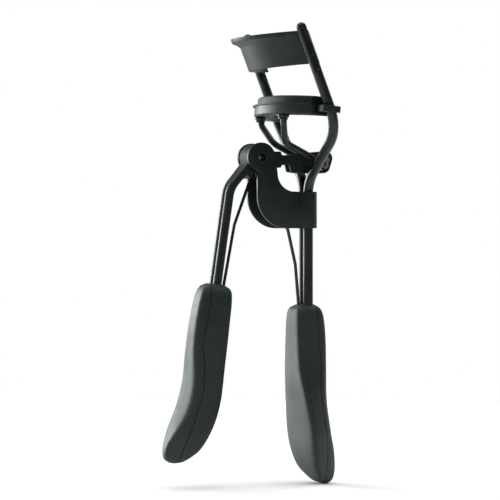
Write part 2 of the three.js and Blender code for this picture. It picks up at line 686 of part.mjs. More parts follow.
// The legs leave the coil on tangents that cross below it, and each runs down into its own grip.
function springPath() {
  const fixedLeg = SPRING.fixedLeg.map((at) => point3(...at));
  const leverLeg = SPRING.leverLeg.map((at) => point3(...at));
  const tangent = (from, side) => {
    const dx = PIVOT.x - from.x;
    const dz = PIVOT.z - from.z;
    const heading = Math.atan2(dz, dx) + side * Math.asin(coilRadius / Math.hypot(dx, dz));
    return heading - (side * Math.PI) / 2;
  };
  const enter = tangent(fixedLeg[2], 1) + Math.PI;
  const leave = tangent(leverLeg[0], -1) + Math.PI;
  const sweep = ((enter - leave) % (2 * Math.PI)) + 2 * Math.PI * SPRING.turns;
  const steps = 30;
  const coil = Array.from({ length: steps + 1 }, (_, i) => {
    const angle = enter - (sweep * i) / steps;
    const y = SPRING.halfLength * ((2 * i) / steps - 1);
    return point3(PIVOT.x + coilRadius * Math.cos(angle), y, PIVOT.z + coilRadius * Math.sin(angle));
  });
  return [...fixedLeg, ...coil, ...leverLeg];
}

const torsionSpring = () => solid(tube(springPath(), SPRING.wire, SPRING.sides));

// ---------------------------------------------------------------- grips
// The listed sections and the seam run the grip's whole length, whatever that is.
const gripStretch = GRIP.length / GRIP.sections[GRIP.sections.length - 1][0];

// Each grip is built upright about its rods' axis with its inner face towards -X and its foot at z = 0:
// a cylinder with one ring for each listed section, reshaped to rounded trapezoids wide at the inner face.
function gripBody() {
  const rings = GRIP.sections.length - 1;
  const geometry = new THREE.CylinderGeometry(1, 1, rings, GRIP.sides, rings).rotateX(Math.PI / 2);
  geometry.translate(0, 0, rings / 2);
  const place = geometry.attributes.position;
  for (let i = 0; i < place.count; i++) {
    const [height, inner, outer, innerHalf, outerHalf] = GRIP.sections[Math.round(place.getZ(i))];
    const angle = Math.atan2(place.getY(i), place.getX(i));
    const radius = Math.hypot(place.getX(i), place.getY(i));
    const c = Math.cos(angle);
    const d = Math.sin(angle);
    const n = GRIP.squareness;
    const squared = radius / (Math.abs(c) ** n + Math.abs(d) ** n) ** (1 / n);
    const u = squared * c;
    const half = THREE.MathUtils.lerp(innerHalf, outerHalf, (u + 1) / 2);
    const x = (inner + outer) / 2 + (u * (outer - inner)) / 2;
    place.setXYZ(i, x, squared * d * half, height * gripStretch);
  }
  return geometry;
}

// The region on the inner side of the seam, which runs down the grip's sides with a jog half way.
function seamRegion(shift) {
  const line = GRIP.seam.map(([x, z]) => point2(x + shift, z * gripStretch));
  const far = -2 * GRIP.sections[5][3];
  const outline = new THREE.Shape([point2(far, line[0].y), ...line, point2(far, line[line.length - 1].y)]);
  return plateGeometry(outline, -far);
}

function gripShells(place) {
  const region = (shift) => solid(seamRegion(shift).applyMatrix4(place));
  const grip = solid(gripBody().applyMatrix4(place));
  return {
    inner: grip.intersect(region(-GRIP.seamGap / 2)),
    outer: grip.subtract(region(GRIP.seamGap / 2)),
  };
}

const fixedPlace = new THREE.Matrix4().makeTranslation(GRIP.fixedX, 0, 0);
const movingPlace = new THREE.Matrix4()
  .makeTranslation(LEVER_GRIP_TOP.x, 0, LEVER_GRIP_TOP.z)
  .multiply(new THREE.Matrix4().makeRotationY(radians(LEVER.leanDegrees)))
  .multiply(new THREE.Matrix4().makeRotationZ(Math.PI))
  .multiply(new THREE.Matrix4().makeTranslation(0, 0, -GRIP.length));

// ---------------------------------------------------------------- the assembly
const assembly = new THREE.Group();

function part(name, body, finish) {
  const mesh = new THREE.Mesh(geometryOf(body), new THREE.MeshStandardMaterial(FINISHES[finish]));
  mesh.name = name;
  assembly.add(mesh);
}

const springRoom = solid(tube(springPath(), SPRING.wire + 2 * RUNNING_GAP, SPRING.sides));
const boreRoom = (path, radius, sides) => solid(tube(path, radius + GRIP.boreSlack, sides));

const fixedShells = gripShells(fixedPlace);
const movingShells = gripShells(movingPlace);
for (const [side, suffix] of [
  [-1, "near"],
  [1, "far"],
]) {
  part("frame_rod_" + suffix, frameRod(side), "satinBlack");
  part("lever_rod_" + suffix, leverRod(side), "satinBlack");
  part("push_collar_" + suffix, pushCollar(side), "satinBlack");
  part("wire_rivet_" + suffix, wireRivet(side), "satinBlack");
  const frameBore = boreRoom(frameRodPath(side), FRAME_ROD.radius, FRAME_ROD.sides);
  const leverBore = boreRoom(leverRodPath(side), LEVER_ROD.radius, LEVER_ROD.sides);
  for (const shell of ["inner", "outer"]) {
    fixedShells[shell] = fixedShells[shell].subtract(frameBore);
    movingShells[shell] = movingShells[shell].subtract(leverBore);
  }
}
part("upper_jaw", upperJaw(), "satinBlack");
part("lower_jaw", lowerJaw(), "satinBlack");
part("lash_pad", lashPad(), "rubber");
part("push_wire", pushWire(), "satinBlack");
part("hinge_bracket", hingeBracket(), "satinBlack");
part("pivot_rivet", pivotRivet(), "satinBlack");
part("pivot_bush", pivotBush(), "satinBlack");
part("lever_yoke", leverYoke(), "satinBlack");
part("torsion_spring", torsionSpring(), "satinBlack");
part("fixed_grip_inner", fixedShells.inner.subtract(springRoom), "softTouch");
part("fixed_grip_outer", fixedShells.outer, "softTouch");
part("moving_grip_inner", movingShells.inner.subtract(springRoom), "softTouch");
part("moving_grip_outer", movingShells.outer, "softTouch");

// The origin is under the middle of the whole object, on the surface that it stands on.
const bounds = new THREE.Box3().setFromObject(assembly);
assembly.position.set(-(bounds.min.x + bounds.max.x) / 2, 0, -bounds.min.z);

// The joint axes at rest, in the assembly's own frame: the lever turns on the rivet, and the jaw's short
// travel up the leaning rods is a turn about a far point, which keeps the guides on the rods.
const half = { x: (stroke.closed.x - stroke.guide.x) / 2, z: (stroke.closed.z - stroke.guide.z) / 2 };
const away = 1 / Math.tan(stroke.turn / 2);
assembly.userData.joints = {
  lever: { x: PIVOT.x, z: PIVOT.z, degrees: LEVER.swingDegrees },
  jaw: {
    x: stroke.guide.x + half.x - half.z * away,
    z: stroke.guide.z + half.z + half.x * away,
    degrees: THREE.MathUtils.radToDeg(stroke.turn),
  },
};

export default assembly;
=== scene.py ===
"""Eyelash curler: the finished surfaces of the tool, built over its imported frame.

Lengths in the size fields are millimetres and angles are degrees. Meshes are made in metres, in the
frame's own axes: +Z up along the fixed handle, -X towards the moving handle, and the hinge rivet along Y.
"""

import logging
import math
from contextlib import contextmanager
from dataclasses import dataclass, field, replace
from enum import Enum
from typing import Callable, Iterator, Sequence

import bpy
from mathutils import Matrix, Vector


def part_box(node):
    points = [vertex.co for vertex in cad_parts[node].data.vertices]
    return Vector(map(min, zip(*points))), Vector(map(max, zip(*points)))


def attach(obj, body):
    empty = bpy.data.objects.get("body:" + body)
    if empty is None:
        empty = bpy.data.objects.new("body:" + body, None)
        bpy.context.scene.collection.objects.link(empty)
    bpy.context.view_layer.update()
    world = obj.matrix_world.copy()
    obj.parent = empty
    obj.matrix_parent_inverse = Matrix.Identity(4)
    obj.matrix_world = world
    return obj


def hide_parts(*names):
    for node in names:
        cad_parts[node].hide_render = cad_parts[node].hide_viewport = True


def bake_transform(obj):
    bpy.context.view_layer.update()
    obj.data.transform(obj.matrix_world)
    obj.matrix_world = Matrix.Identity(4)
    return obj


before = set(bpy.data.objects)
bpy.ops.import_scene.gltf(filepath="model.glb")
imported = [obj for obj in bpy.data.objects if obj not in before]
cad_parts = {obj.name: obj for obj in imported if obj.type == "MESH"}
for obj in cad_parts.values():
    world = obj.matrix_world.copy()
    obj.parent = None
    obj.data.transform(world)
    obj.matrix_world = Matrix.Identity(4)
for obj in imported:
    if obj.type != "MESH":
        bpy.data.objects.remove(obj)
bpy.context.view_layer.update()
LOG = logging.getLogger("eyelash_curler")
MM = 0.001
# Vertices nearer than this are one vertex, in metres: in a modelled piece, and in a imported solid.
MERGE_DISTANCE = 1e-6
SOLID_MERGE_DISTANCE = 2e-6
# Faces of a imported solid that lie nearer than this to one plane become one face, degrees.
FLAT_ANGLE = 1.2
# How far past a bar's radius its end ring is looked for, as a share.
RING_MARGIN = 1.01


class Body(Enum):
    """The moving bodies of the tool."""

    FRAME = "frame"
    LEVER = "lever"
    JAW = "jaw"


class Slot(Enum):
    """The record's material slots."""

    PAINTED = "painted_black"
    RUBBER = "pad_rubber"
    SOFT = "soft_grip"


class Side(Enum):
    """Which of a mirrored pair a piece is, with its sign along Y."""

    NEAR = -1
    FAR = 1

    @property
    def word(self) -> str:
        """The side's name in a piece or node name."""
        return self.name.lower()


# ------------------------------------------------------------------------------- places and small maths
@dataclass(frozen=True)
class Hinge:
    """The rivet's axis, in the measure that every size below is given in."""

    x: float = -13.0
    z: float = 78.8


HINGE = Hinge()


def frame_shift() -> Vector:
    """Find how far the frame's own axes lie from the sizes' axes, from the rivet's place.

    Returns:
        The shift in metres, to add to a point made from the sizes.
    """
    low, high = (Vector(corner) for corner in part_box("pivot_rivet"))
    middle = (low + high) / 2
    return Vector((middle.x - HINGE.x * MM, 0, middle.z - HINGE.z * MM))


SHIFT = frame_shift()


def at(x: float, y: float, z: float) -> Vector:
    """Turn millimetres in the sizes' axes into a point of the frame, in metres.

    Args:
        x: Distance from the fixed rods' axis, millimetres.
        y: Distance from the middle plane, millimetres.
        z: Height above the foot, millimetres.

    Returns:
        The point in metres.
    """
    return Vector((x, y, z)) * MM + SHIFT


def smooth_share(value: float, low: float, high: float) -> float:
    """Ease a value from 0 at low to 1 at high.

    Args:
        value: The value to place.
        low: Where the share starts to rise.
        high: Where it reaches 1.

    Returns:
        The eased share.
    """
    share = min(max((value - low) / (high - low), 0.0), 1.0)
    return share * share * (3 - 2 * share)


def through(stations: Sequence[tuple[float, ...]], height: float) -> tuple[float, ...]:
    """Read a table of stations at a height along a smooth curve through them.

    Args:
        stations: Rows of (height, value, value, ...), heights rising.
        height: Where to read it.

    Returns:
        The values at that height.
    """
    last = len(stations) - 1
    index = 0
    while index < last - 1 and stations[index + 1][0] < height:
        index += 1
    low, high = stations[index], stations[index + 1]
    span = high[0] - low[0]
    t = min(max((height - low[0]) / span, 0.0), 1.0)

    def slope(i: int, key: int) -> float:
        """The curve's slope at a station, from the stations beside it."""
        before, after = stations[max(i - 1, 0)], stations[min(i + 1, last)]
        return (after[key] - before[key]) / (after[0] - before[0])

    values = []
    for key in range(1, len(low)):
        m0, m1 = slope(index, key) * span, slope(index + 1, key) * span
        a = (2 * t**3 - 3 * t**2 + 1) * low[key] + (t**3 - 2 * t**2 + t) * m0
        b = (-2 * t**3 + 3 * t**2) * high[key] + (t**3 - t**2) * m1
        values.append(a + b)
    return tuple(values)


# ------------------------------------------------------------------------------- bench tools
def clear_selection() -> None:
    """Deselect every object."""
    for each in list(bpy.context.selected_objects):
        each.select_set(False)


def hold(piece: bpy.types.Object) -> None:
    """Make one object the only selected and active one."""
    clear_selection()
    piece.select_set(True)
    bpy.context.view_layer.objects.active = piece


@contextmanager
def editing(piece: bpy.types.Object, kind: str = "VERT") -> Iterator[None]:
    """Open an object in edit mode for a while.

    Args:
        piece: The object to edit.
        kind: What is selected there: VERT, EDGE or FACE.
    """
    hold(piece)
    bpy.ops.object.mode_set(mode="EDIT")
    bpy.ops.mesh.select_mode(type=kind)
    try:
        yield
    finally:
        bpy.ops.object.mode_set(mode="OBJECT")


def pick_vertices(piece: bpy.types.Object, test: Callable[[Vector], bool]) -> None:
    """Select the vertices that pass a test of their place, while in edit mode.

    Args:
        piece: The object in edit mode.
        test: Says whether a vertex at that place is wanted.
    """
    bpy.ops.mesh.select_all(action="DESELECT")
    bpy.ops.object.mode_set(mode="OBJECT")
    for vertex in piece.data.vertices:
        vertex.select = test(vertex.co)
    bpy.ops.object.mode_set(mode="EDIT")


def settle(piece: bpy.types.Object) -> None:
    """Put an object's place, turn and size into its mesh."""
    hold(piece)
    bpy.ops.object.transform_apply(location=True, rotation=True, scale=True)


def tidy_faces(piece: bpy.types.Object) -> None:
    """Merge doubled vertices and turn every face outwards."""
    with editing(piece):
        bpy.ops.mesh.select_all(action="SELECT")
        bpy.ops.mesh.remove_doubles(threshold=MERGE_DISTANCE)
        bpy.ops.mesh.normals_make_consistent(inside=False)


def finish_modifier(piece: bpy.types.Object, name: str) -> None:
    """Apply one of an object's modifiers."""
    hold(piece)
    bpy.ops.object.modifier_apply(modifier=name)


def round_edges(piece: bpy.types.Object, width: float, angle: float = 35, segments: int = 3) -> None:
    """Break a piece's sharp edges with a small round.

    Args:
        piece: The object to round.
        width: Width of the round, millimetres.
        angle: Edges sharper than this are rounded, degrees.
        segments: Steps across the round.
    """
    edge = piece.modifiers.new("edge_round", "BEVEL")
    edge.width = width * MM
    edge.segments = segments
    edge.limit_method = "ANGLE"
    edge.angle_limit = math.radians(angle)
    edge.use_clamp_overlap = True
    edge.miter_outer = "MITER_ARC"
    finish_modifier(piece, edge.name)


def smooth_shade(piece: bpy.types.Object, angle: float = 32) -> None:
    """Shade a piece smooth, with edges sharper than the angle kept crisp."""
    hold(piece)
    bpy.ops.object.shade_smooth_by_angle(angle=math.radians(angle))


def combine(piece: bpy.types.Object, tool: bpy.types.Object, how: str) -> None:
    """Join a tool shape to a piece, cut it away, or keep what they share, and discard the tool.

    Args:
        piece: The object that is changed.
        tool: The shape that it is changed by.
        how: UNION, DIFFERENCE or INTERSECT.
    """
    cut = piece.modifiers.new("cut", "BOOLEAN")
    cut.object = tool
    cut.operation = how
    cut.solver = "EXACT"
    finish_modifier(piece, cut.name)
    bpy.data.objects.remove(tool, do_unlink=True)


def start_ring(name: str, points: Sequence[Vector], filled: bool = False) -> bpy.types.Object:
    """Start a piece from a ring of vertices laid out on an outline.

    Args:
        name: The piece's name.
        points: The outline's corners, in metres.
        filled: Whether the ring carries a face.

    Returns:
        The new object.
    """
    clear_selection()
    bpy.ops.mesh.primitive_circle_add(
        vertices=len(points), radius=1, fill_type="NGON" if filled else "NOTHING"
    )
    ring = bpy.context.object
    ring.name = name
    for vertex, place in zip(ring.data.vertices, points):
        vertex.co = place
    return ring


def slab(name: str, outline: Sequence[Vector], push: Vector) -> bpy.types.Object:
    """Make a flat plate from an outline by extruding its face.

    Args:
        name: The piece's name.
        outline: The plate's corners on one face, in metres.
        push: From that face to the other, in metres.

    Returns:
        The new object.
    """
    plate = start_ring(name, outline, filled=True)
    with editing(plate, "FACE"):
        bpy.ops.mesh.select_all(action="SELECT")
        bpy.ops.mesh.extrude_region_move(TRANSFORM_OT_translate={"value": push})
        bpy.ops.mesh.select_all(action="SELECT")
        bpy.ops.mesh.normals_make_consistent(inside=False)
    return plate


def close_ring(piece: bpy.types.Object, centre: Vector, reach: float) -> None:
    """Fill the open ring of vertices near a point, while in edit mode.

    Args:
        piece: The object in edit mode.
        centre: The middle of the ring.
        reach: How far from it the ring's vertices lie at most, metres.
    """
    pick_vertices(piece, lambda place: (place - centre).length < reach)
    bpy.ops.mesh.edge_face_add()


def bent_bar(
    name: str,
    corners: Sequence[Vector],
    bends: Sequence[float],
    radius: float,
    sides: int = 32,
    steps: int = 14,
    end_pulls: int = 1,
) -> bpy.types.Object:
    """Bend a round bar: its end ring is pulled along each straight and spun round each bend.

    Args:
        name: The piece's name.
        corners: Where the straights' centre lines meet, with both ends, in metres.
        bends: Bend radius at each inner corner, millimetres.
        radius: The bar's radius, millimetres.
        sides: Vertices round the bar.
        steps: Rings in each bend.
        end_pulls: Rings in the last straight.

    Returns:
        The new object, with flat ends.
    """
    heading = (corners[1] - corners[0]).normalized()
    clear_selection()
    bpy.ops.mesh.primitive_circle_add(
        vertices=sides,
        radius=radius * MM,
        fill_type="NOTHING",
        location=corners[0],
        rotation=heading.to_track_quat("Z", "Y").to_euler(),
    )
    bar = bpy.context.object
    bar.name = name
    settle(bar)
    with editing(bar):
        bpy.ops.mesh.select_all(action="SELECT")
        here = corners[0]
        for corner, following, bend in zip(corners[1:-1], corners[2:], bends):
            arriving = (corner - here).normalized()
            leaving = (following - corner).normalized()
            angle = arriving.angle(leaving)
            reach = bend * MM * math.tan(angle / 2)
            stop = corner - arriving * reach
            bpy.ops.mesh.extrude_edges_move(TRANSFORM_OT_translate={"value": stop - here})
            axis = arriving.cross(leaving).normalized()
            centre = stop + axis.cross(arriving) * bend * MM
            bpy.ops.mesh.spin(steps=steps, angle=-angle, center=centre, axis=axis)
            here = corner + leaving * reach
        pull = (corners[-1] - here) / end_pulls
        for _ in range(end_pulls):
            bpy.ops.mesh.extrude_edges_move(TRANSFORM_OT_translate={"value": pull})
        close_ring(bar, corners[-1], radius * MM * RING_MARGIN)
        close_ring(bar, corners[0], radius * MM * RING_MARGIN)
    tidy_faces(bar)
    return bar


def dome_end(
    bar: bpy.types.Object,
    tip: Vector,
    heading: Vector,
    radius: float,
    steps: int = 7,
    sweep: float = 86,
) -> None:
    """Round a bar's flat end off with a half ball.

    Args:
        bar: The bar.
        tip: The middle of its flat end.
        heading: Unit vector out of that end.
        radius: The bar's radius, millimetres.
        steps: Rings in the half ball.
        sweep: How far round the ball goes before its flat cap, degrees.
    """
    with editing(bar):
        pick_vertices(bar, lambda place: (place - tip).length < radius * MM * RING_MARGIN)
        bpy.ops.mesh.delete(type="ONLY_FACE")
        pick_vertices(bar, lambda place: (place - tip).length < radius * MM * RING_MARGIN)
        here, size = 0.0, 1.0
        for step in range(1, steps + 1):
            turn = math.radians(sweep) * step / steps
            ahead, across = math.sin(turn), math.cos(turn)
            move = heading * (ahead - here) * radius * MM
            bpy.ops.mesh.extrude_edges_move(TRANSFORM_OT_translate={"value": move})
            ratio = across / size
            centre = tip + heading * ahead * radius * MM
            bpy.ops.transform.resize(value=(ratio, ratio, ratio), center_override=centre)
            here, size = ahead, across
        bpy.ops.mesh.edge_face_add()
    tidy_faces(bar)


def turned(
    name: str,
    profile: Sequence[tuple[float, float]],
    centre: Vector,
    axis: Vector,
    steps: int = 48,
) -> bpy.types.Object:
    """Turn a ring-shaped profile round an axis, as on a lathe.

    Args:
        name: The piece's name.
        profile: The closed profile as (radius, distance along the axis), millimetres.
        centre: A point on the axis, in metres.
        axis: The axis, a unit vector.
        steps: Stations round the axis.

    Returns:
        The new object.
    """
    across = axis.orthogonal().normalized()
    points = [centre + across * radius * MM + axis * along * MM for radius, along in profile]
    body = start_ring(name, points)
    with editing(body):
        bpy.ops.mesh.select_all(action="SELECT")
        bpy.ops.mesh.spin(steps=steps, angle=2 * math.pi, center=centre, axis=axis)
    tidy_faces(body)
    return body


def rounded(
    corners: Sequence[tuple[float, float]], radii: Sequence[float], steps: int = 4
) -> list[tuple[float, float]]:
    """Round the corners of a closed outline.

    Args:
        corners: The sharp corners.
        radii: A radius for each corner; 0 keeps it sharp.
        steps: Points added on each round.

    Returns:
        The outline with its rounds.
    """
    result: list[tuple[float, float]] = []
    count = len(corners)
    for i, (corner, radius) in enumerate(zip(corners, radii)):
        here = Vector(corner)
        if radius <= 0:
            result.append(corner)
            continue
        before = (Vector(corners[i - 1]) - here).normalized()
        after = (Vector(corners[(i + 1) % count]) - here).normalized()
        half = before.angle(after) / 2
        reach = radius / math.tan(half)
        centre = here + (before + after).normalized() * radius / math.sin(half)
        first = here + before * reach - centre
        last = here + after * reach - centre
        sweep = first.angle(last)
        for step in range(steps + 1):
            share = step / steps
            a = math.sin((1 - share) * sweep) / math.sin(sweep)
            b = math.sin(share * sweep) / math.sin(sweep)
            result.append(tuple(centre + first * a + last * b))
    return result


def mirrored_copy(piece: bpy.types.Object, name: str) -> bpy.types.Object:
    """Copy a piece with its own mesh, mirrored about the middle plane.

    Args:
        piece: The piece to copy.
        name: The copy's name.

    Returns:
        The copy.
    """
    twin = piece.copy()
    twin.data = piece.data.copy()
    twin.name = name
    bpy.context.collection.objects.link(twin)
    twin.data.transform(Matrix.Scale(-1, 4, Vector((0, 1, 0))))
    twin.data.flip_normals()
    return twin


def refined_node(node: str, name: str) -> bpy.types.Object:
    """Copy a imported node's solid and merge it into clean flat and curved faces, ready for edge work.

    Args:
        node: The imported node's name.
        name: The new piece's name.

    Returns:
        The new object.
    """
    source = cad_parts[node]
    piece = source.copy()
    piece.data = source.data.copy()
    piece.name = name
    piece.parent = None
    piece.matrix_world = Matrix.Identity(4)
    bpy.context.collection.objects.link(piece)
    piece.data.materials.clear()
    with editing(piece):
        bpy.ops.mesh.select_all(action="SELECT")
        bpy.ops.mesh.remove_doubles(threshold=SOLID_MERGE_DISTANCE)
        bpy.ops.mesh.dissolve_limited(angle_limit=math.radians(FLAT_ANGLE))
    return piece


def dress(piece: bpy.types.Object, material: bpy.types.Material) -> None:
    """Give a piece one material all over."""
    piece.data.materials.clear()
    piece.data.materials.append(material)


def hand_over(
    piece: bpy.types.Object,
    material: bpy.types.Material,
    body: Body,
    nodes: Sequence[str],
) -> None:
    """Finish a piece: its material, the body it rides on, and the nodes it stands for.

    Args:
        piece: The finished piece.
        material: Its material.
        body: The body that it moves with.
        nodes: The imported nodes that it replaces.
    """
    dress(piece, material)
    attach(piece, body.value)
    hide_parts(*nodes)
    LOG.info("%s: %d faces on %s", piece.name, len(piece.data.polygons), body.value)


def hand_over_pair(
    near: bpy.types.Object,
    name: str,
    material: bpy.types.Material,
    body: Body,
    nodes: str,
) -> None:
    """Mirror a painted near-side piece, and finish both.

    Args:
        near: The finished near-side piece.
        name: The pair's name, which each side's word is added to.
        material: Their material.
        body: The body that they move with.
        nodes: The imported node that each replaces, with {} where a side's word goes.
    """
    far = mirrored_copy(near, f"{name}_{Side.FAR.word}")
    near.name = f"{name}_{Side.NEAR.word}"
    for piece, side in ((near, Side.NEAR), (far, Side.FAR)):
        hand_over(piece, material, body, [nodes.format(side.word)])


# ------------------------------------------------------------------------------- shared shader groups
Tree = bpy.types.NodeTree
Sock = bpy.types.NodeSocket


def new_group(
    name: str, inputs: Sequence[tuple[str, str, object]], outputs: Sequence[tuple[str, str]]
) -> Tree:
    """Start a shader node group with its sockets.

    Args:
        name: The group's name.
        inputs: (name, socket type, default) of each input.
        outputs: (name, socket type) of each output.

    Returns:
        The empty group, with its input and output nodes.
    """
    group = bpy.data.node_groups.new(name, "ShaderNodeTree")
    for label, kind, default in inputs:
        socket = group.interface.new_socket(label, in_out="INPUT", socket_type=kind)
        socket.default_value = default
    for label, kind in outputs:
        group.interface.new_socket(label, in_out="OUTPUT", socket_type=kind)
    group.nodes.new("NodeGroupInput").name = "in"
    group.nodes.new("NodeGroupOutput").name = "out"
    return group


def noise(tree: Tree, vector: Sock, scale: float | Sock, detail: float, rough: float = 0.5) -> Sock:
    """Add a noise texture.

    Args:
        tree: The node tree.
        vector: The coordinates that it reads.
        scale: Its scale, as a number or a socket.
        detail: Its detail.
        rough: Its roughness.

    Returns:
        Its value, 0 to 1.
    """
    node = tree.nodes.new("ShaderNodeTexNoise")
    node.inputs["Detail"].default_value = detail
    node.inputs["Roughness"].default_value = rough
    tree.links.new(vector, node.inputs["Vector"])
    if isinstance(scale, (int, float)):
        node.inputs["Scale"].default_value = scale
    else:
        tree.links.new(scale, node.inputs["Scale"])
    return node.outputs["Fac"]


def ramp(tree: Tree, value: Sock, low: float, high: float, out_low: float = 0, out_high: float = 1) -> Sock:
    """Map a value smoothly from one range to another.

    Args:
        tree: The node tree.
        value: The value.
        low: Where the input range starts.
        high: Where it ends.
        out_low: The output there at the start.
        out_high: The output at the end.

    Returns:
        The mapped value.
    """
    node = tree.nodes.new("ShaderNodeMapRange")
    node.interpolation_type = "SMOOTHSTEP"
    tree.links.new(value, node.inputs["Value"])
    for label, number in (("From Min", low), ("From Max", high), ("To Min", out_low), ("To Max", out_high)):
        node.inputs[label].default_value = number
    return node.outputs["Result"]


def calculate(tree: Tree, how: str, first: Sock, second: float | Sock) -> Sock:
    """Add a sum of two values.

    Args:
        tree: The node tree.
        how: ADD, MULTIPLY or another of the Math node's names.
        first: The first value.
        second: The second value, as a number or a socket.

    Returns:
        The result.
    """
    node = tree.nodes.new("ShaderNodeMath")
    node.operation = how
    tree.links.new(first, node.inputs[0])
    if isinstance(second, (int, float)):
        node.inputs[1].default_value = second
    else:
        tree.links.new(second, node.inputs[1])
    return node.outputs[0]


def blend_colours(tree: Tree, share: Sock, low: Sock, high: Sock) -> Sock:
    """Mix two colours by a share.

    Args:
        tree: The node tree.
        share: 0 gives the first colour, 1 the second.
        low: The first colour.
        high: The second colour.

    Returns:
        The mixed colour.
    """
    node = tree.nodes.new("ShaderNodeMix")
    node.data_type = "RGBA"
    tree.links.new(share, node.inputs["Factor"])
    tree.links.new(low, node.inputs[6])
    tree.links.new(high, node.inputs[7])
    return node.outputs[2]


class SharedEffects:
    """The effects that more than one finish uses, each built once as a node group."""

    def __init__(self) -> None:
        """Build the groups."""
        self.grain = self._grain()
        self.drift = self._drift()
        self.wear = self._wear()

    def _grain(self) -> Tree:
        """Build fine surface relief: even grain with a softer swell under it."""
        group = new_group(
            "surface_grain",
            [("Scale", "NodeSocketFloat", 900.0), ("Swell", "NodeSocketFloat", 120.0)],
            [("Relief", "NodeSocketFloat"), ("Speckle", "NodeSocketFloat")],
        )
        source, sink = group.nodes["in"], group.nodes["out"]
        place = group.nodes.new("ShaderNodeTexCoord").outputs["Object"]
        fine = noise(group, place, source.outputs["Scale"], 3.0, 0.6)
        swell = noise(group, place, source.outputs["Swell"], 2.0)
        cells = group.nodes.new("ShaderNodeTexVoronoi")
        cells.feature = "SMOOTH_F1"
        group.links.new(place, cells.inputs["Vector"])
        group.links.new(source.outputs["Scale"], cells.inputs["Scale"])
        both = calculate(group, "ADD", fine, calculate(group, "MULTIPLY", cells.outputs["Distance"], 0.6))
        relief = calculate(group, "ADD", both, calculate(group, "MULTIPLY", swell, 0.5))
        group.links.new(relief, sink.inputs["Relief"])
        group.links.new(ramp(group, fine, 0.42, 0.7), sink.inputs["Speckle"])
        return group

    def _drift(self) -> Tree:
        """Build slow colour change over a surface."""
        group = new_group(
            "colour_drift",
            [
                ("Deep", "NodeSocketColor", (0.01, 0.01, 0.01, 1)),
                ("Light", "NodeSocketColor", (0.02, 0.02, 0.02, 1)),
                ("Scale", "NodeSocketFloat", 90.0),
            ],
            [("Colour", "NodeSocketColor"), ("Share", "NodeSocketFloat")],
        )
        source, sink = group.nodes["in"], group.nodes["out"]
        place = group.nodes.new("ShaderNodeTexCoord").outputs["Object"]
        share = ramp(group, noise(group, place, source.outputs["Scale"], 4.0), 0.35, 0.66)
        mixed = blend_colours(group, share, source.outputs["Deep"], source.outputs["Light"])
        group.links.new(mixed, sink.inputs["Colour"])
        group.links.new(share, sink.inputs["Share"])
        return group

    def _wear(self) -> Tree:
        """Build sparse rubbed and dusty patches: a large patch mask broken up by a fine one."""
        group = new_group(
            "handling_wear",
            [("Scale", "NodeSocketFloat", 260.0)],
            [("Mask", "NodeSocketFloat")],
        )
        source, sink = group.nodes["in"], group.nodes["out"]
        place = group.nodes.new("ShaderNodeTexCoord").outputs["Object"]
        patch = ramp(group, noise(group, place, source.outputs["Scale"], 5.0, 0.65), 0.56, 0.72)
        speck = ramp(group, noise(group, place, 2600.0, 2.0), 0.45, 0.62)
        group.links.new(calculate(group, "MULTIPLY", patch, speck), sink.inputs["Mask"])
        return group


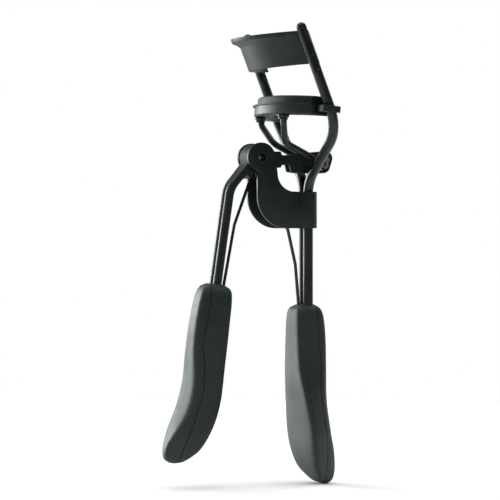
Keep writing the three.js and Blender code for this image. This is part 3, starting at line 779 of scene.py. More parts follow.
# ------------------------------------------------------------------------------- finishes
@dataclass(frozen=True)
class Finish:
    """One material's own values, over the shared effects.

    Colours are linear; scales are repeats for each metre.
    """

    name: str
    deep: tuple[float, float, float]
    light: tuple[float, float, float]
    worn: tuple[float, float, float]
    rough_low: float
    rough_high: float
    specular: float
    grain_scale: float
    swell_scale: float
    bump: float
    bump_reach: float
    drift_scale: float = 90.0
    wear_scale: float = 260.0
    wear_share: float = 0.35
    speckle_share: float = 0.0
    coat: float = 0.0
    coat_roughness: float = 0.2
    sheen: float = 0.0
    tint: tuple[float, float, float] = (0.76, 1.0, 0.93)

    def material(self, effects: SharedEffects) -> bpy.types.Material:
        """Build the material.

        Args:
            effects: The shared node groups.

        Returns:
            The material.
        """
        made = bpy.data.materials.new(self.name)
        made.use_nodes = True
        tree = made.node_tree
        surface = tree.nodes["Principled BSDF"]
        settings = {
            "Specular IOR Level": self.specular,
            "Specular Tint": (*self.tint, 1),
            "Coat Weight": self.coat,
            "Coat Roughness": self.coat_roughness,
            "Sheen Weight": self.sheen,
            "Sheen Roughness": 0.5,
        }
        for label, value in settings.items():
            surface.inputs[label].default_value = value
        drift = self._place(
            tree, effects.drift, Deep=(*self.deep, 1), Light=(*self.light, 1), Scale=self.drift_scale
        )
        grain = self._place(tree, effects.grain, Scale=self.grain_scale, Swell=self.swell_scale)
        wear = self._place(tree, effects.wear, Scale=self.wear_scale)
        rub = calculate(tree, "MULTIPLY", wear.outputs["Mask"], self.wear_share)
        fleck = calculate(tree, "MULTIPLY", grain.outputs["Speckle"], self.speckle_share)
        light = calculate(tree, "MAXIMUM", rub, fleck)
        worn = tree.nodes.new("ShaderNodeMix")
        worn.data_type = "RGBA"
        worn.inputs[7].default_value = (*self.worn, 1)
        tree.links.new(light, worn.inputs["Factor"])
        tree.links.new(drift.outputs["Colour"], worn.inputs[6])
        tree.links.new(worn.outputs[2], surface.inputs["Base Color"])
        rough = ramp(tree, drift.outputs["Share"], 0, 1, self.rough_low, self.rough_high)
        tree.links.new(calculate(tree, "ADD", rough, calculate(tree, "MULTIPLY", rub, 0.25)),
                       surface.inputs["Roughness"])
        bump = tree.nodes.new("ShaderNodeBump")
        bump.inputs["Strength"].default_value = self.bump
        bump.inputs["Distance"].default_value = self.bump_reach * MM
        tree.links.new(grain.outputs["Relief"], bump.inputs["Height"])
        tree.links.new(bump.outputs["Normal"], surface.inputs["Normal"])
        return made

    @staticmethod
    def _place(tree: Tree, group: Tree, **values: object) -> bpy.types.Node:
        """Place a shared group in a material's tree.

        Args:
            tree: The material's tree.
            group: The shared group.
            **values: The value of each of its inputs.

        Returns:
            The group's node.
        """
        node = tree.nodes.new("ShaderNodeGroup")
        node.node_tree = group
        for label, value in values.items():
            node.inputs[label].default_value = value
        return node


BAR_PAINT = Finish(
    name="satin_black_bar_paint",
    deep=(0.0030, 0.0038, 0.0036),
    light=(0.0055, 0.0066, 0.0062),
    worn=(0.030, 0.033, 0.032),
    rough_low=0.36,
    rough_high=0.44,
    specular=0.42,
    grain_scale=1500,
    swell_scale=260,
    bump=0.10,
    bump_reach=0.05,
    coat=0.06,
    coat_roughness=0.25,
)
SHEET_PAINT = Finish(
    name="satin_black_sheet_paint",
    deep=(0.0066, 0.0090, 0.0086),
    light=(0.0110, 0.0142, 0.0136),
    worn=(0.035, 0.038, 0.037),
    rough_low=0.42,
    rough_high=0.52,
    specular=0.34,
    grain_scale=1900,
    swell_scale=300,
    bump=0.16,
    bump_reach=0.05,
)
PAD_RUBBER = Finish(
    name="lash_pad_rubber",
    deep=(0.0045, 0.0050, 0.0050),
    light=(0.0080, 0.0086, 0.0086),
    worn=(0.03, 0.031, 0.031),
    rough_low=0.5,
    rough_high=0.62,
    specular=0.4,
    grain_scale=2600,
    swell_scale=420,
    bump=0.2,
    bump_reach=0.04,
    wear_share=0.2,
)
GRIP_SOFT = Finish(
    name="soft_touch_grip",
    deep=(0.0034, 0.0056, 0.0050),
    light=(0.0060, 0.0090, 0.0082),
    worn=(0.05, 0.054, 0.054),
    rough_low=0.52,
    rough_high=0.62,
    specular=0.5,
    grain_scale=2300,
    swell_scale=380,
    bump=0.42,
    bump_reach=0.07,
    drift_scale=60,
    wear_scale=180,
    wear_share=0.16,
    speckle_share=0.22,
    sheen=0.02,
)
HINGE_PAINT = replace(
    SHEET_PAINT,
    name="flat_black_hinge_paint",
    rough_low=0.55,
    rough_high=0.66,
    specular=0.22,
)
SPRING_WIRE = Finish(
    name="black_spring_wire",
    deep=(0.0045, 0.0052, 0.0050),
    light=(0.0080, 0.0090, 0.0088),
    worn=(0.04, 0.04, 0.04),
    rough_low=0.28,
    rough_high=0.38,
    specular=0.5,
    grain_scale=2400,
    swell_scale=500,
    bump=0.12,
    bump_reach=0.03,
    coat=0.2,
)


class FinishShelf:
    """The built materials, ready to be put on pieces."""

    def __init__(self) -> None:
        """Build each material once."""
        effects = SharedEffects()
        self.bar = BAR_PAINT.material(effects)
        self.sheet = SHEET_PAINT.material(effects)
        self.hinge = HINGE_PAINT.material(effects)
        self.rubber = PAD_RUBBER.material(effects)
        self.grip = GRIP_SOFT.material(effects)
        self.spring = SPRING_WIRE.material(effects)


# ------------------------------------------------------------------------------- fixed frame
@dataclass
class RodFrame:
    """The two frame rods: straight up from the grip, forked round the jaw, and leaning to their tips."""

    radius: float = 1.2
    half_spacing: float = 1.27
    low_end: float = 12.0
    fork_z: float = 73.1
    elbow_x: float = 0.9
    elbow_z: float = 85.2
    half_width: float = 16.8
    start_bend: float = 7.0
    elbow_bend: float = 10.0
    lean: float = 21.5
    lean_length: float = 25.4
    flat_length: float = 11.8
    flat_thickness: float = 1.7
    flat_run_in: float = 0.5
    slot_half_width: float = 0.5
    slot_length: float = 7.2
    slot_depth: float = 0.38
    slot_from_tip: float = 0.7

    @property
    def along(self) -> Vector:
        """Unit vector up the leaning stretch."""
        lean = math.radians(self.lean)
        return Vector((-math.sin(lean), 0, math.cos(lean)))

    def elbow(self, side: Side) -> Vector:
        """The elbow's corner on one side."""
        return at(self.elbow_x, side.value * self.half_width, self.elbow_z)

    def lean_x(self, z: float) -> float:
        """The rods' x on the leaning stretch at a height, millimetres."""
        return self.elbow_x - (z - self.elbow_z) * math.tan(math.radians(self.lean))

    def build(self, shelf: FinishShelf) -> None:
        """Model the near rod, mirror it for the far one, and dress both.

        Args:
            shelf: The built materials.
        """
        side = Side.NEAR
        y = side.value * self.half_spacing
        elbow = self.elbow(side)
        tip = elbow + self.along * self.lean_length * MM
        corners = [at(0, y, self.low_end), at(0, y, self.fork_z), elbow, tip]
        rod = bent_bar("frame_rod", corners, [self.start_bend, self.elbow_bend], self.radius,
                       sides=40, steps=18, end_pulls=56)
        dome_end(rod, tip, self.along, self.radius)
        self._flatten(rod, elbow)
        self._sink_slot(rod, elbow)
        smooth_shade(rod, 28)
        hand_over_pair(rod, "frame_rod_outer", shelf.bar, Body.FRAME, "frame_rod_{}")

    def _flatten(self, rod: bpy.types.Object, elbow: Vector) -> None:
        """Press the rod's upper end into a flat blade, with a short soft run-in below it.

        Args:
            rod: The near rod.
            elbow: Its elbow's corner.
        """
        top = (self.lean_length + self.radius) * MM
        start = top - self.flat_length * MM
        half = self.flat_thickness / 2 * MM
        run_in = self.flat_run_in * MM
        for vertex in rod.data.vertices:
            height = (vertex.co - elbow).dot(self.along)
            pressed = smooth_share(height, start - run_in, start + run_in)
            offset = vertex.co.y - elbow.y
            if pressed > 0 and abs(offset) > half:
                flat = math.copysign(half, offset)
                vertex.co.y = elbow.y + offset + (flat - offset) * pressed

    def _sink_slot(self, rod: bpy.types.Object, elbow: Vector) -> None:
        """Sink the long round-ended recess into the blade's outer face.

        Args:
            rod: The near rod.
            elbow: Its elbow's corner.
        """
        top = self.lean_length + self.radius - self.slot_from_tip - self.slot_half_width
        middle = top - self.slot_length / 2
        clear_selection()
        bpy.ops.mesh.primitive_uv_sphere_add(segments=32, ring_count=20, radius=self.slot_half_width * MM)
        cutter = bpy.context.object
        stretch = (self.slot_length / 2 - self.slot_half_width) * MM
        for vertex in cutter.data.vertices:
            vertex.co.z += math.copysign(stretch, vertex.co.z) if abs(vertex.co.z) > 1e-7 else stretch
            vertex.co.y *= self.slot_depth / self.slot_half_width
        with editing(cutter):
            bpy.ops.mesh.select_all(action="SELECT")
            bpy.ops.mesh.convex_hull()
        turn = Matrix.Rotation(-math.radians(self.lean), 4, "Y")
        face = elbow + self.along * middle * MM - Vector((0, self.flat_thickness / 2 * MM, 0))
        cutter.data.transform(Matrix.Translation(face) @ turn)
        combine(rod, cutter, "DIFFERENCE")


@dataclass
class JawArc:
    """The plan curve that both jaws follow.

    A strip's half sweep runs past its cut ends by the overrun, as a sine, so that both cuts meet material.
    """

    radius: float = 18.4
    setback: float = 9.6
    steps: int = 72
    overrun: float = 0.03

    def sweep(
        self, name: str, profile: Sequence[tuple[float, float]], half_span: float
    ) -> bpy.types.Object:
        """Spin a profile along the arc and cut both ends square to Y.

        Args:
            name: The piece's name.
            profile: Closed outline as (radius from the arc's centre, height), millimetres.
            half_span: Where the ends are cut, millimetres from the middle plane.

        Returns:
            The piece in the jaw's own level frame, about the origin.
        """
        reach = math.asin(min(half_span / min(radius for radius, _ in profile) + self.overrun, 0.999))
        centre = Vector((self.setback, 0, 0)) * MM
        points = []
        for radius, height in profile:
            place = Vector((self.setback - radius * math.cos(reach), radius * math.sin(reach), height))
            points.append(place * MM)
        strip = start_ring(name, points)
        with editing(strip):
            bpy.ops.mesh.select_all(action="SELECT")
            bpy.ops.mesh.spin(steps=self.steps, angle=-2 * reach, center=centre, axis=(0, 0, 1))
            for sign in (-1, 1):
                bpy.ops.mesh.select_all(action="SELECT")
                bpy.ops.mesh.bisect(
                    plane_co=(0, sign * half_span * MM, 0),
                    plane_no=(0, sign, 0),
                    use_fill=True,
                    clear_outer=True,
                )
        tidy_faces(strip)
        return strip


ARC = JawArc()


def seat(pitch: float, x: float, z: float, slope: float = 0.0) -> Matrix:
    """Place a jaw's own level frame: sheared by a slope, pitched, and moved.

    Args:
        pitch: Turn about Y, degrees.
        x: Where its origin goes, millimetres.
        z: The height of its origin, millimetres.
        slope: How far its walls lean back, degrees.

    Returns:
        The matrix, in metres.
    """
    shear = Matrix.Identity(4)
    shear[0][2] = -math.tan(math.radians(slope))
    return Matrix.Translation(at(x, 0, z)) @ Matrix.Rotation(math.radians(pitch), 4, "Y") @ shear


@dataclass
class UpperBand:
    """The curved band between the rods' tips, with a crescent lip along its top."""

    thickness: float = 0.9
    height: float = 7.9
    lip: float = 1.9
    lip_height: float = 1.0
    cove: float = 1.1
    half_span: float = 15.75
    pitch: float = -4.5597
    slope: float = 16.9403
    seat_x: float = -4.2317
    seat_z: float = 100.6127
    edge: float = 0.16
    cove_step: float = 0.45
    flare_power: float = 1.5
    flare_run_out: float = 0.05
    outer_slack: float = 0.02

    def build(self, shelf: FinishShelf) -> None:
        """Model and dress the band.

        Args:
            shelf: The built materials.
        """
        inner = ARC.radius - self.thickness / 2
        outer = ARC.radius + self.thickness / 2
        lip_low = self.height - self.lip_height
        corners = [
            (inner, 0.0),
            (outer, 0.0),
            (outer, lip_low - self.cove),
            (outer, lip_low - self.cove * self.cove_step),
            (outer, lip_low),
            (outer, self.height),
            (inner, self.height),
        ]
        profile = rounded(corners, [self.edge, self.edge, 0, 0, 0, 0, self.edge])
        band = ARC.sweep("upper_band", profile, self.half_span)
        self._flare(band, outer, lip_low)
        round_edges(band, 0.12, 40, 3)
        band.data.transform(seat(self.pitch, self.seat_x, self.seat_z, self.slope))
        smooth_shade(band, 40)
        hand_over(band, shelf.sheet, Body.FRAME, ["upper_jaw"])

    def _flare(self, band: bpy.types.Object, outer: float, lip_low: float) -> None:
        """Draw the lip out from the band: widest in the middle, and nothing at the ends.

        Args:
            band: The band, in its own level frame.
            outer: Its outer radius, millimetres.
            lip_low: The height of the lip's lower edge, millimetres.
        """
        limit = math.asin(self.half_span / outer)
        for vertex in band.data.vertices:
            x, y, z = (component / MM for component in vertex.co)
            radius = math.hypot(x - ARC.setback, y)
            if radius < outer - self.outer_slack:
                continue
            angle = math.atan2(y, ARC.setback - x)
            share = math.cos(min(abs(angle) / limit, 1.0) * math.pi / 2)
            drawn = smooth_share(z, lip_low - self.cove, lip_low + self.flare_run_out) ** self.flare_power
            further = radius + self.lip * share * drawn
            vertex.co.x = (ARC.setback - further * math.cos(angle)) * MM
            vertex.co.y = further * math.sin(angle) * MM


# ------------------------------------------------------------------------------- lower jaw
@dataclass
class LowerJaw:
    """The sliding jaw: a channel with a rim, a guide loop round each rod, and the pad in its groove."""

    rods: RodFrame
    z: float = 90.9
    pitch: float = 5.0
    half_width: float = 1.65
    height: float = 2.6
    wall: float = 0.55
    floor: float = 0.6
    lip: float = 0.5
    lip_height: float = 0.35
    guide_height: float = 1.5
    guide_wall: float = 0.7
    guide_slack: float = 0.42
    guide_overlap: float = 1.0
    pad_proud: float = 1.9
    pad_slack: float = 0.08
    pad_round: float = 0.42
    pad_lift: float = 0.56

    @property
    def place(self) -> Matrix:
        """From the jaw's own level frame to the tool's."""
        return seat(self.pitch, self.rods.lean_x(self.z), self.z)

    @property
    def guide_inner(self) -> float:
        """Where the channel's ends are, millimetres from the middle plane."""
        return self.rods.half_width - self.rods.radius - self.guide_slack

    def build(self, shelf: FinishShelf) -> None:
        """Model and dress the channel, its guides and the pad.

        Args:
            shelf: The built materials.
        """
        self._channel(shelf)
        self._guides(shelf)
        self._pad(shelf)

    def _channel(self, shelf: FinishShelf) -> None:
        """Spin the channel's section along the arc.

        Args:
            shelf: The built materials.
        """
        inner = ARC.radius - self.half_width
        outer = ARC.radius + self.half_width
        low = -self.height
        corners = [
            (inner, low),
            (outer, low),
            (outer, -self.lip_height),
            (outer + self.lip, -self.lip_height),
            (outer + self.lip, 0.0),
            (outer - self.wall, 0.0),
            (outer - self.wall, low + self.floor),
            (inner + self.wall, low + self.floor),
            (inner + self.wall, 0.0),
            (inner, 0.0),
        ]
        radii = [0.3, 0.32, 0.14, 0.12, 0.12, 0.08, 0.08, 0.08, 0.08, 0.12]
        channel = ARC.sweep("jaw_channel", rounded(corners, radii, 3), self.guide_inner)
        channel.data.transform(self.place)
        smooth_shade(channel, 40)
        hand_over(channel, shelf.sheet, Body.JAW, ["lower_jaw"])

    def _guides(self, shelf: FinishShelf) -> None:
        """Make the near guide loop, pierce it for its rod, and mirror it.

        Args:
            shelf: The built materials.
        """
        reach = self.rods.radius + self.guide_slack + self.guide_wall
        outer = self.rods.half_width + reach
        inner = self.guide_inner - self.guide_overlap
        low = -self.lip_height - self.guide_height
        corners = [(-reach, -inner), (-reach, -outer), (reach, -outer), (reach, -inner)]
        outline = rounded(corners, [0.3, 0.7, 0.7, 0.7], 6)
        points = [Vector((x, y, low)) * MM for x, y in outline]
        guide = slab("jaw_guide", points, Vector((0, 0, self.guide_height * MM)))
        guide.data.transform(self.place)
        clear_selection()
        bpy.ops.mesh.primitive_cylinder_add(
            vertices=48,
            radius=(self.rods.radius + self.guide_slack) * MM,
            depth=4 * self.height * MM,
            location=at(self.rods.lean_x(self.z), -self.rods.half_width, self.z),
            rotation=(0, -math.radians(self.rods.lean), 0),
        )
        drill = bpy.context.object
        settle(drill)
        combine(guide, drill, "DIFFERENCE")
        round_edges(guide, 0.16, 40, 3)
        smooth_shade(guide, 35)
        hand_over_pair(guide, "jaw_guide", shelf.sheet, Body.JAW, "lower_jaw")

    def _pad(self, shelf: FinishShelf) -> None:
        """Spin the pad's crowned section along the groove and soften its ends.

        Args:
            shelf: The built materials.
        """
        half = self.half_width - self.wall - self.pad_slack
        low = self.floor - self.height + self.pad_lift
        corners = [
            (ARC.radius - half, low),
            (ARC.radius + half, low),
            (ARC.radius + half, self.pad_proud),
            (ARC.radius - half, self.pad_proud),
        ]
        profile = rounded(corners, [0.1, 0.1, self.pad_round, self.pad_round], 6)
        pad = ARC.sweep("lash_pad_strip", profile, self.guide_inner - self.wall - self.pad_slack)
        round_edges(pad, 0.35, 60, 4)
        pad.data.transform(self.place)
        smooth_shade(pad, 40)
        hand_over(pad, shelf.rubber, Body.JAW, ["lash_pad"])


@dataclass
class PushLinks:
    """The push wire from the lever's eye to the jaw, with a flanged collar at each end."""

    jaw: LowerJaw
    radius: float = 0.78
    half_spacing: float = 7.1
    straight: float = 2.4
    top_bend: float = 2.6
    knee_forward: float = 1.87
    knee_z: float = 82.4
    knee_half: float = 3.6
    knee_bend: float = 3.2
    cross_half: float = 3.36
    eye_x: float = 3.9
    eye_z: float = 77.05
    collar_radius: float = 1.45
    neck_radius: float = 1.15
    flange: float = 0.45
    collar_height: float = 1.2
    gap: float = 0.06
    eye_bend_share: float = 1.3
    collar_slack: float = 0.1
    neck_taper: float = 0.2

    @property
    def collar_x(self) -> float:
        """The collars' place in the jaw's own frame, millimetres."""
        return ARC.setback - math.sqrt(ARC.radius**2 - self.half_spacing**2)

    def build(self, shelf: FinishShelf) -> None:
        """Model and dress the wire and both collars.

        Args:
            shelf: The built materials.
        """
        self._wire(shelf)
        self._collars(shelf)

    def _wire(self, shelf: FinishShelf) -> None:
        """Bend the wire: up from the eye to a narrow knee, and out to the collars on both sides.

        Args:
            shelf: The built materials.
        """
        local = Vector((self.collar_x, -self.half_spacing, self.jaw.floor - self.jaw.height - self.gap))
        top = self.jaw.place @ (local * MM)
        shoulder = top - Vector((0, 0, self.straight * MM))
        knee = at(0, -self.knee_half, self.knee_z)
        knee.x = top.x + self.knee_forward * MM
        near = [top, shoulder, knee, at(self.eye_x, -self.cross_half, self.eye_z)]
        far = [Vector((p.x, -p.y, p.z)) for p in reversed(near)]
        tight = self.radius * self.eye_bend_share
        bends = [self.top_bend, self.knee_bend, tight, tight, self.knee_bend, self.top_bend]
        wire = bent_bar("push_wire_bent", [*near, *far], bends, self.radius, sides=32, steps=12)
        smooth_shade(wire, 35)
        hand_over(wire, shelf.bar, Body.JAW, ["push_wire"])

    def _collars(self, shelf: FinishShelf) -> None:
        """Turn the near collar and mirror it.

        Args:
            shelf: The built materials.
        """
        top = -self.jaw.height - self.gap
        bore = self.radius + self.collar_slack
        corners = [
            (bore, top - self.collar_height),
            (self.neck_radius, top - self.collar_height),
            (self.neck_radius, top - self.flange - self.neck_taper),
            (self.collar_radius, top - self.flange),
            (self.collar_radius, top),
            (bore, top),
        ]
        profile = rounded(corners, [0.04, 0.14, 0.12, 0.14, 0.1, 0.04], 3)
        centre = Vector((self.collar_x, -self.half_spacing, 0)) * MM
        collar = turned("push_collar", profile, centre, Vector((0, 0, 1)))
        collar.data.transform(self.jaw.place)
        smooth_shade(collar, 40)
        hand_over_pair(collar, "push_collar_turned", shelf.bar, Body.JAW, "push_collar_{}")


# ------------------------------------------------------------------------------- hinge
@dataclass
class HingeSet:
    """The folded bracket, the hollow rivet through it, and the lever's yoke."""

    rivet_radius: float = 1.3
    rivet_bore: float = 0.9
    head_radius: float = 1.55
    head_height: float = 0.36
    head_gap: float = 0.06
    bore_fall: float = 0.08
    cheek_outer: float = 3.55
    bracket_round: float = 0.14
    yoke_round: float = 0.16

    def build(self, shelf: FinishShelf) -> None:
        """Model and dress the bracket, rivet and yoke.

        Args:
            shelf: The built materials.
        """
        bracket = refined_node("hinge_bracket", "bracket_sheet")
        round_edges(bracket, self.bracket_round, 50, 3)
        smooth_shade(bracket, 35)
        hand_over(bracket, shelf.sheet, Body.FRAME, ["hinge_bracket"])
        yoke = refined_node("lever_yoke", "yoke_body")
        round_edges(yoke, self.yoke_round, 50, 3)
        smooth_shade(yoke, 35)
        hand_over(yoke, shelf.hinge, Body.LEVER, ["lever_yoke"])
        self._rivet(shelf)

    def _rivet(self, shelf: FinishShelf) -> None:
        """Turn the hollow rivet, with a rolled ring on each cheek.

        Args:
            shelf: The built materials.
        """
        inner = self.cheek_outer + self.head_gap
        outer = inner + self.head_height
        corners = [
            (self.rivet_bore, -outer + self.bore_fall),
            (self.head_radius, -outer),
            (self.head_radius, -inner),
            (self.rivet_radius, -inner),
            (self.rivet_radius, inner),
            (self.head_radius, inner),
            (self.head_radius, outer),
            (self.rivet_bore, outer - self.bore_fall),
        ]
        profile = rounded(corners, [0.26, 0.26, 0.06, 0, 0, 0.06, 0.26, 0.26], 5)
        rivet = turned("hollow_rivet", profile, at(HINGE.x, 0, HINGE.z), Vector((0, 1, 0)), 64)
        smooth_shade(rivet, 40)
        hand_over(rivet, shelf.hinge, Body.FRAME, ["pivot_rivet"])


@dataclass
class LeverRods:
    """The two rods that run from the yoke's sleeve down into the moving grip."""

    radius: float = 1.06
    half_spacing: float = 1.12
    bend: float = 6.5
    low_end: float = 12.0
    lean: float = 8.3
    elbow_x: float = -20.15
    elbow_z: float = 71.45
    neck: float = 49.8
    head_reach: float = 2.77

    def build(self, shelf: FinishShelf) -> None:
        """Model the near rod, mirror it, and dress both.

        Args:
            shelf: The built materials.
        """
        y = -self.half_spacing
        neck = Vector((math.cos(math.radians(self.neck)), 0, math.sin(math.radians(self.neck))))
        elbow = at(self.elbow_x, y, self.elbow_z)
        to_hinge = (at(HINGE.x, y, HINGE.z) - elbow).dot(neck)
        top = elbow + neck * (to_hinge - (self.head_reach + self.radius) * MM)
        drop = self.elbow_z - self.low_end
        foot = elbow + Vector((-math.tan(math.radians(self.lean)) * drop, 0, -drop)) * MM
        rod = bent_bar("lever_rod", [foot, elbow, top], [self.bend], self.radius, sides=36, steps=16)
        smooth_shade(rod, 35)
        hand_over_pair(rod, "lever_rod_bent", shelf.bar, Body.LEVER, "lever_rod_{}")


@dataclass
class TorsionSpring:
    """The wire spring round the rivet, with a leg down into each grip."""

    wire: float = 0.4
    coil_radius: float = 2.37
    half_length: float = 1.15
    turns: int = 2
    coil_steps: int = 90
    fixed_leg: list[tuple[float, float, float]] = field(
        default_factory=lambda: [(-1.95, 0, 43), (-3.0, -0.4, 53.2), (-5.1, -0.8, 61.5)]
    )
    lever_leg: list[tuple[float, float, float]] = field(
        default_factory=lambda: [(-14.7, 0.8, 72.4), (-18.5, 0.5, 62.7), (-21.75, 0, 46.5)]
    )

    def _tangent(self, start: tuple[float, float, float], side: int) -> float:
        """Where a leg from a point meets the coil, as an angle about the rivet.

        Args:
            start: The leg's end, millimetres.
            side: 1 or -1, the way that the wire winds on.

        Returns:
            The angle in radians.
        """
        dx, dz = HINGE.x - start[0], HINGE.z - start[2]
        heading = math.atan2(dz, dx) + side * math.asin(self.coil_radius / math.hypot(dx, dz))
        return heading - side * math.pi / 2

    def _path(self) -> list[Vector]:
        """The wire's centre line from the fixed grip, round the coil, to the moving grip.

        Returns:
            The line's points in metres.
        """
        enter = self._tangent(self.fixed_leg[2], 1) + math.pi
        leave = self._tangent(self.lever_leg[0], -1) + math.pi
        sweep = math.fmod(enter - leave, 2 * math.pi) + 2 * math.pi * self.turns
        points = [at(*corner) for corner in self.fixed_leg]
        for i in range(self.coil_steps + 1):
            angle = enter - sweep * i / self.coil_steps
            y = self.half_length * (2 * i / self.coil_steps - 1)
            x = HINGE.x + self.coil_radius * math.cos(angle)
            points.append(at(x, y, HINGE.z + self.coil_radius * math.sin(angle)))
        return points + [at(*corner) for corner in self.lever_leg]

    def build(self, shelf: FinishShelf) -> None:
        """Run the wire along its path, from the fixed grip round the coil to the moving grip.

        Args:
            shelf: The built materials.
        """
        path = self._path()
        line = bpy.data.curves.new("spring_line", "CURVE")
        line.dimensions = "3D"
        spline = line.splines.new("POLY")
        spline.points.add(len(path) - 1)
        for point, place in zip(spline.points, path):
            point.co = (*place, 1)
        line.bevel_depth = self.wire * MM
        line.bevel_resolution = 5
        line.use_fill_caps = True
        spring = bpy.data.objects.new("torsion_spring_wire", line)
        bpy.context.collection.objects.link(spring)
        hold(spring)
        bpy.ops.object.convert(target="MESH")
        spring = bpy.context.object
        smooth_shade(spring, 50)
        dress(spring, shelf.spring)
        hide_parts("torsion_spring")
        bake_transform(spring)
        LOG.info("%s: blends between frame and lever", spring.name)


# ------------------------------------------------------------------------------- grips
@dataclass
class GripPair:
    """The two soft-touch handles, each of two shells that meet at a jogged seam over a locating rib.

    A station is a height above the foot, the inner face, the outer face, and the half width at each.
    """

    length: float = 43.5
    sides: int = 128
    rings: int = 64
    squareness: float = 5.6
    stations: list[tuple[float, ...]] = field(
        default_factory=lambda: [
            (0, 4.5, 5.5, 0.9, 0.6),
            (0.5, 3.1, 6.6, 2.5, 1.0),
            (1.8, 1.8, 7.3, 4.8, 1.3),
            (4, 0.2, 7.4, 6.9, 2.0),
            (8, -1.1, 6.55, 8.4, 3.9),
            (12.7, -1.8, 5.35, 9.0, 4.9),
            (20.5, -2.75, 4.4, 7.5, 4.5),
            (28, -3.6, 4.65, 5.7, 3.5),
            (35, -3.7, 4.6, 4.9, 3.2),
            (40.5, -3.6, 4.1, 4.3, 3.0),
            (42.6, -3.1, 3.3, 3.5, 2.5),
            (43.5, -1.6, 1.9, 2.3, 1.7),
        ]
    )
    seam_gap: float = 0.14
    edge: float = 0.14
    block_reach: float = 12.0
    tongue_half: float = 0.4
    tongue_reach: float = 1.0
    tongue_end: float = 0.6
    seam: tuple[tuple[float, float], ...] = (
        (4.4, -2.0),
        (4.0, 3.6),
        (3.05, 13.2),
        (2.05, 19.0),
        (2.0, 24.7),
        (2.6, 27.9),
        (2.4, 31.0),
        (1.95, 37.7),
        (2.1, 45.5),
    )
    moving_bow: float = 0.7
    bow_height: float = 15.5
    bow_reach: float = 8.0
    fixed_x: float = -0.3
    top_x: float = -23.5
    top_z: float = 48.5
    lean: float = 8.3

    def build(self, shelf: FinishShelf) -> None:
        """Model one grip's shells and rib, and place and dress a set for each handle.

        Args:
            shelf: The built materials.
        """
        fixed = Matrix.Translation(at(self.fixed_x, 0, 0))
        moving = (
            Matrix.Translation(at(self.top_x, 0, self.top_z))
            @ Matrix.Rotation(math.radians(self.lean), 4, "Y")
            @ Matrix.Rotation(math.pi, 4, "Z")
            @ Matrix.Translation(Vector((0, 0, -self.length * MM)))
        )
        shells = self._shells()
        for handle, place, body in (("fixed", fixed, Body.FRAME), ("moving", moving, Body.LEVER)):
            for which, shell in shells.items():
                piece = shell.copy()
                piece.data = shell.data.copy()
                piece.name = f"{handle}_handle_{which}"
                bpy.context.collection.objects.link(piece)
                if body is Body.LEVER:
                    self._bow(piece)
                piece.data.transform(place)
                node = f"{handle}_grip_{'inner' if which == 'tongue' else which}"
                hand_over(piece, shelf.grip, body, [node])
        for shell in shells.values():
            bpy.data.objects.remove(shell, do_unlink=True)

    def _bow(self, shell: bpy.types.Object) -> None:
        """Bow the moving handle's shell a little towards the other handle, most at the bow's height.

        Args:
            shell: The shell, standing upright at the origin.
        """
        for vertex in shell.data.vertices:
            away = (vertex.co.z / MM - self.bow_height) / self.bow_reach
            vertex.co.x -= self.moving_bow * math.exp(-away * away) * MM

    def _body(self, name: str) -> bpy.types.Object:
        """Pull a ring up through the grip's stations and shape each ring to its section.

        Args:
            name: The new object's name.

        Returns:
            The whole grip, standing upright at the origin.
        """
        heights = [self.length * (1 - math.cos(math.pi * i / self.rings)) / 2 for i in range(self.rings + 1)]
        clear_selection()
        bpy.ops.mesh.primitive_circle_add(vertices=self.sides, radius=MM, fill_type="NOTHING")
        grip = bpy.context.object
        grip.name = name
        with editing(grip):
            bpy.ops.mesh.select_all(action="SELECT")
            for low, high in zip(heights, heights[1:]):
                rise = Vector((0, 0, (high - low) * MM))
                bpy.ops.mesh.extrude_edges_move(TRANSFORM_OT_translate={"value": rise})
            close_ring(grip, Vector((0, 0, self.length * MM)), 1.05 * MM)
            close_ring(grip, Vector((0, 0, 0)), 1.001 * MM)
        for vertex in grip.data.vertices:
            vertex.co = self._section(vertex.co)
        tidy_faces(grip)
        return grip

    def _section(self, place: Vector) -> Vector:
        """Move a point of the unit bar to the grip's rounded, tapering section at its height.

        Args:
            place: The point, in metres.

        Returns:
            Its new place, in metres.
        """
        z = place.z / MM
        inner, outer, inner_half, outer_half = through(self.stations, z)
        angle = math.atan2(place.y, place.x)
        power = 2 / self.squareness
        u = math.copysign(abs(math.cos(angle)) ** power, math.cos(angle))
        v = math.copysign(abs(math.sin(angle)) ** power, math.sin(angle))
        half = inner_half + (outer_half - inner_half) * (u + 1) / 2
        return Vector(((inner + outer) / 2 + u * (outer - inner) / 2, v * half, z)) * MM

    def _shells(self) -> dict[str, bpy.types.Object]:
        """Cut the grip along its seam into an inner and an outer shell, and add the rib.

        Returns:
            The pieces by name: inner, outer and tongue.
        """
        shells = {}
        for which, shift, how in (("inner", -1, "INTERSECT"), ("outer", 1, "DIFFERENCE")):
            shell = self._body("grip_" + which)
            combine(shell, self._seam_block(shift * self.seam_gap / 2), how)
            round_edges(shell, self.edge, 48, 2)
            smooth_shade(shell, 38)
            shells[which] = shell
        shells["tongue"] = self._tongue()
        return shells

    def _tongue(self) -> bpy.types.Object:
        """Make the locating rib inside the seam, which closes the slit between the shells.

        Returns:
            The rib.
        """
        low, high = self.tongue_end, self.length - self.tongue_end
        line = [(x, min(max(z, low), high)) for x, z in self.seam]
        ahead = [(x + self.tongue_half, z) for x, z in line]
        behind = [(x - self.tongue_half, z) for x, z in reversed(line)]
        points = [Vector((x, -self.tongue_reach, z)) * MM for x, z in (*ahead, *behind)]
        return slab("grip_tongue", points, Vector((0, 2 * self.tongue_reach * MM, 0)))

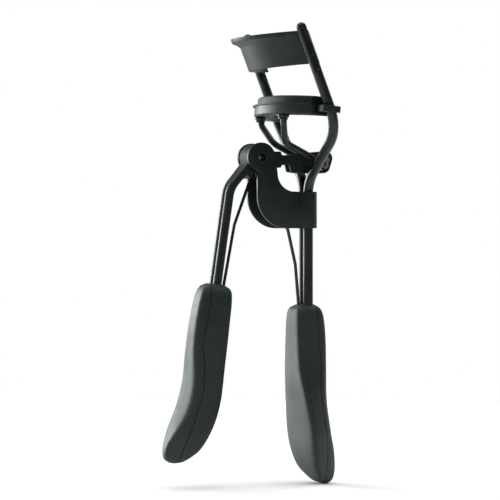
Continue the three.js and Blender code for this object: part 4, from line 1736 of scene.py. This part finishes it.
    def _seam_block(self, shift: float) -> bpy.types.Object:
        """Make the block on the inner side of the seam line, which jogs half way up.

        Args:
            shift: How far its face lies outside the seam line, millimetres.

        Returns:
            The block.
        """
        line = [(x + shift, z) for x, z in self.seam]
        reach = self.block_reach
        outline = [(-reach, line[0][1]), *line, (-reach, line[-1][1])]
        points = [Vector((u, -reach, v)) * MM for u, v in outline]
        return slab("seam_block", points, Vector((0, 2 * reach * MM, 0)))


# ------------------------------------------------------------------------------- kept nodes
def dress_kept_nodes(shelf: FinishShelf) -> None:
    """Give the small inner nodes that stay as packed their finishes."""
    for node in ("wire_rivet_near", "wire_rivet_far", "pivot_bush"):
        dress(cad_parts[node], shelf.bar)
        LOG.info("%s: kept, with its own finish", node)


# ------------------------------------------------------------------------------- the stand
@dataclass(frozen=True)
class SoftLight:
    """A soft square light: where it hangs, its size in metres and its power in watts."""

    name: str
    place: tuple[float, float, float]
    size: float
    power: float


@dataclass
class Studio:
    """The pale floor, the soft lights and the camera.

    The camera's lengths are millimetres; the floor's and the lights' are metres.
    """

    camera_distance: float = 570.0
    camera_turn: float = 22.0
    aim_x: float = 0.2
    aim_z: float = 56.64
    light_aim_z: float = 0.06
    lens: float = 171.0
    floor_radius: float = 0.32
    surround: float = 0.14
    sky_strength: float = 2.9
    sky_spread: float = 90.0
    backdrop: float = 1.0
    lights: tuple[SoftLight, ...] = (
        SoftLight("left_window", (-0.46, 0.74, 0.16), 0.50, 9.0),
        SoftLight("left_fill", (-0.85, -0.20, 0.30), 0.50, 0.6),
        SoftLight("right_window", (0.80, 0.40, 0.20), 0.45, 1.4),
    )

    def build(self) -> None:
        """Set up the camera, the lights, the floor and the surrounding light."""
        self._camera()
        self._lights()
        self._floor()
        self._surround()

    def _camera(self) -> None:
        """Stand the camera level in front of the tool, turned a little to its left."""
        turn = math.radians(self.camera_turn)
        aim = Vector((self.aim_x, 0, self.aim_z)) * MM
        back = Vector((math.sin(turn), math.cos(turn), 0)) * self.camera_distance * MM
        data = bpy.data.cameras.new("camera")
        data.lens = self.lens
        data.sensor_width = 36
        data.clip_start = 0.02
        data.clip_end = 20
        camera = bpy.data.objects.new("camera", data)
        camera.location = aim - back
        camera.rotation_euler = (math.pi / 2, 0, -turn)
        bpy.context.collection.objects.link(camera)
        bpy.context.scene.camera = camera
        bpy.context.scene.view_settings.view_transform = "Standard"

    def _lights(self) -> None:
        """Hang the soft lights, each turned to the tool's middle, under one even light from above."""
        aim = Vector((0, 0, self.light_aim_z))
        for light in self.lights:
            data = bpy.data.lights.new(light.name, "AREA")
            data.shape = "SQUARE"
            data.size = light.size
            data.energy = light.power
            lamp = bpy.data.objects.new(light.name, data)
            lamp.location = light.place
            lamp.rotation_euler = (aim - Vector(light.place)).to_track_quat("-Z", "Y").to_euler()
            lamp.visible_camera = False
            bpy.context.collection.objects.link(lamp)
        high = bpy.data.lights.new("overhead", "SUN")
        high.energy = self.sky_strength
        high.angle = math.radians(self.sky_spread)
        bpy.context.collection.objects.link(bpy.data.objects.new("overhead", high))

    def _floor(self) -> None:
        """Lay the round pale floor, with a soft rolled rim."""
        clear_selection()
        bpy.ops.mesh.primitive_circle_add(vertices=128, radius=self.floor_radius, fill_type="NGON")
        floor = bpy.context.object
        floor.name = "pale_floor"
        with editing(floor, "FACE"):
            bpy.ops.mesh.select_all(action="SELECT")
            bpy.ops.mesh.inset(thickness=self.floor_radius * 0.5)
            bpy.ops.mesh.inset(thickness=self.floor_radius * 0.3)
        paper = bpy.data.materials.new("pale_paper")
        paper.use_nodes = True
        tree = paper.node_tree
        surface = tree.nodes["Principled BSDF"]
        surface.inputs["Roughness"].default_value = 0.9
        surface.inputs["Specular IOR Level"].default_value = 0.1
        place = tree.nodes.new("ShaderNodeTexCoord").outputs["Object"]
        fibre = tree.nodes.new("ShaderNodeValToRGB")
        fibre.color_ramp.elements[0].color = (0.90, 0.90, 0.90, 1)
        fibre.color_ramp.elements[1].color = (0.94, 0.94, 0.94, 1)
        tree.links.new(noise(tree, place, 30.0, 2.0), fibre.inputs["Fac"])
        tree.links.new(fibre.outputs["Color"], surface.inputs["Base Color"])
        dress(floor, paper)

    def _surround(self) -> None:
        """Light everything evenly from all round, before a plain white backdrop."""
        world = bpy.context.scene.world or bpy.data.worlds.new("surround")
        bpy.context.scene.world = world
        world.use_nodes = True
        tree = world.node_tree
        sky = tree.nodes["Background"]
        sky.inputs["Color"].default_value = (1, 1, 1, 1)
        seen = tree.nodes.new("ShaderNodeLightPath")
        strength = tree.nodes.new("ShaderNodeMapRange")
        strength.inputs["To Min"].default_value = self.surround
        strength.inputs["To Max"].default_value = self.backdrop
        tree.links.new(seen.outputs["Is Camera Ray"], strength.inputs["Value"])
        tree.links.new(strength.outputs["Result"], sky.inputs["Strength"])


def main() -> None:
    """Build the stand and every sub-assembly, in order."""
    logging.basicConfig(level=logging.INFO, format="%(name)s: %(message)s")
    Studio().build()
    shelf = FinishShelf()
    rods = RodFrame()
    rods.build(shelf)
    UpperBand().build(shelf)
    jaw = LowerJaw(rods)
    jaw.build(shelf)
    PushLinks(jaw).build(shelf)
    HingeSet().build(shelf)
    LeverRods().build(shelf)
    TorsionSpring().build(shelf)
    GripPair().build(shelf)
    dress_kept_nodes(shelf)


if __name__ == "__main__":
    main()
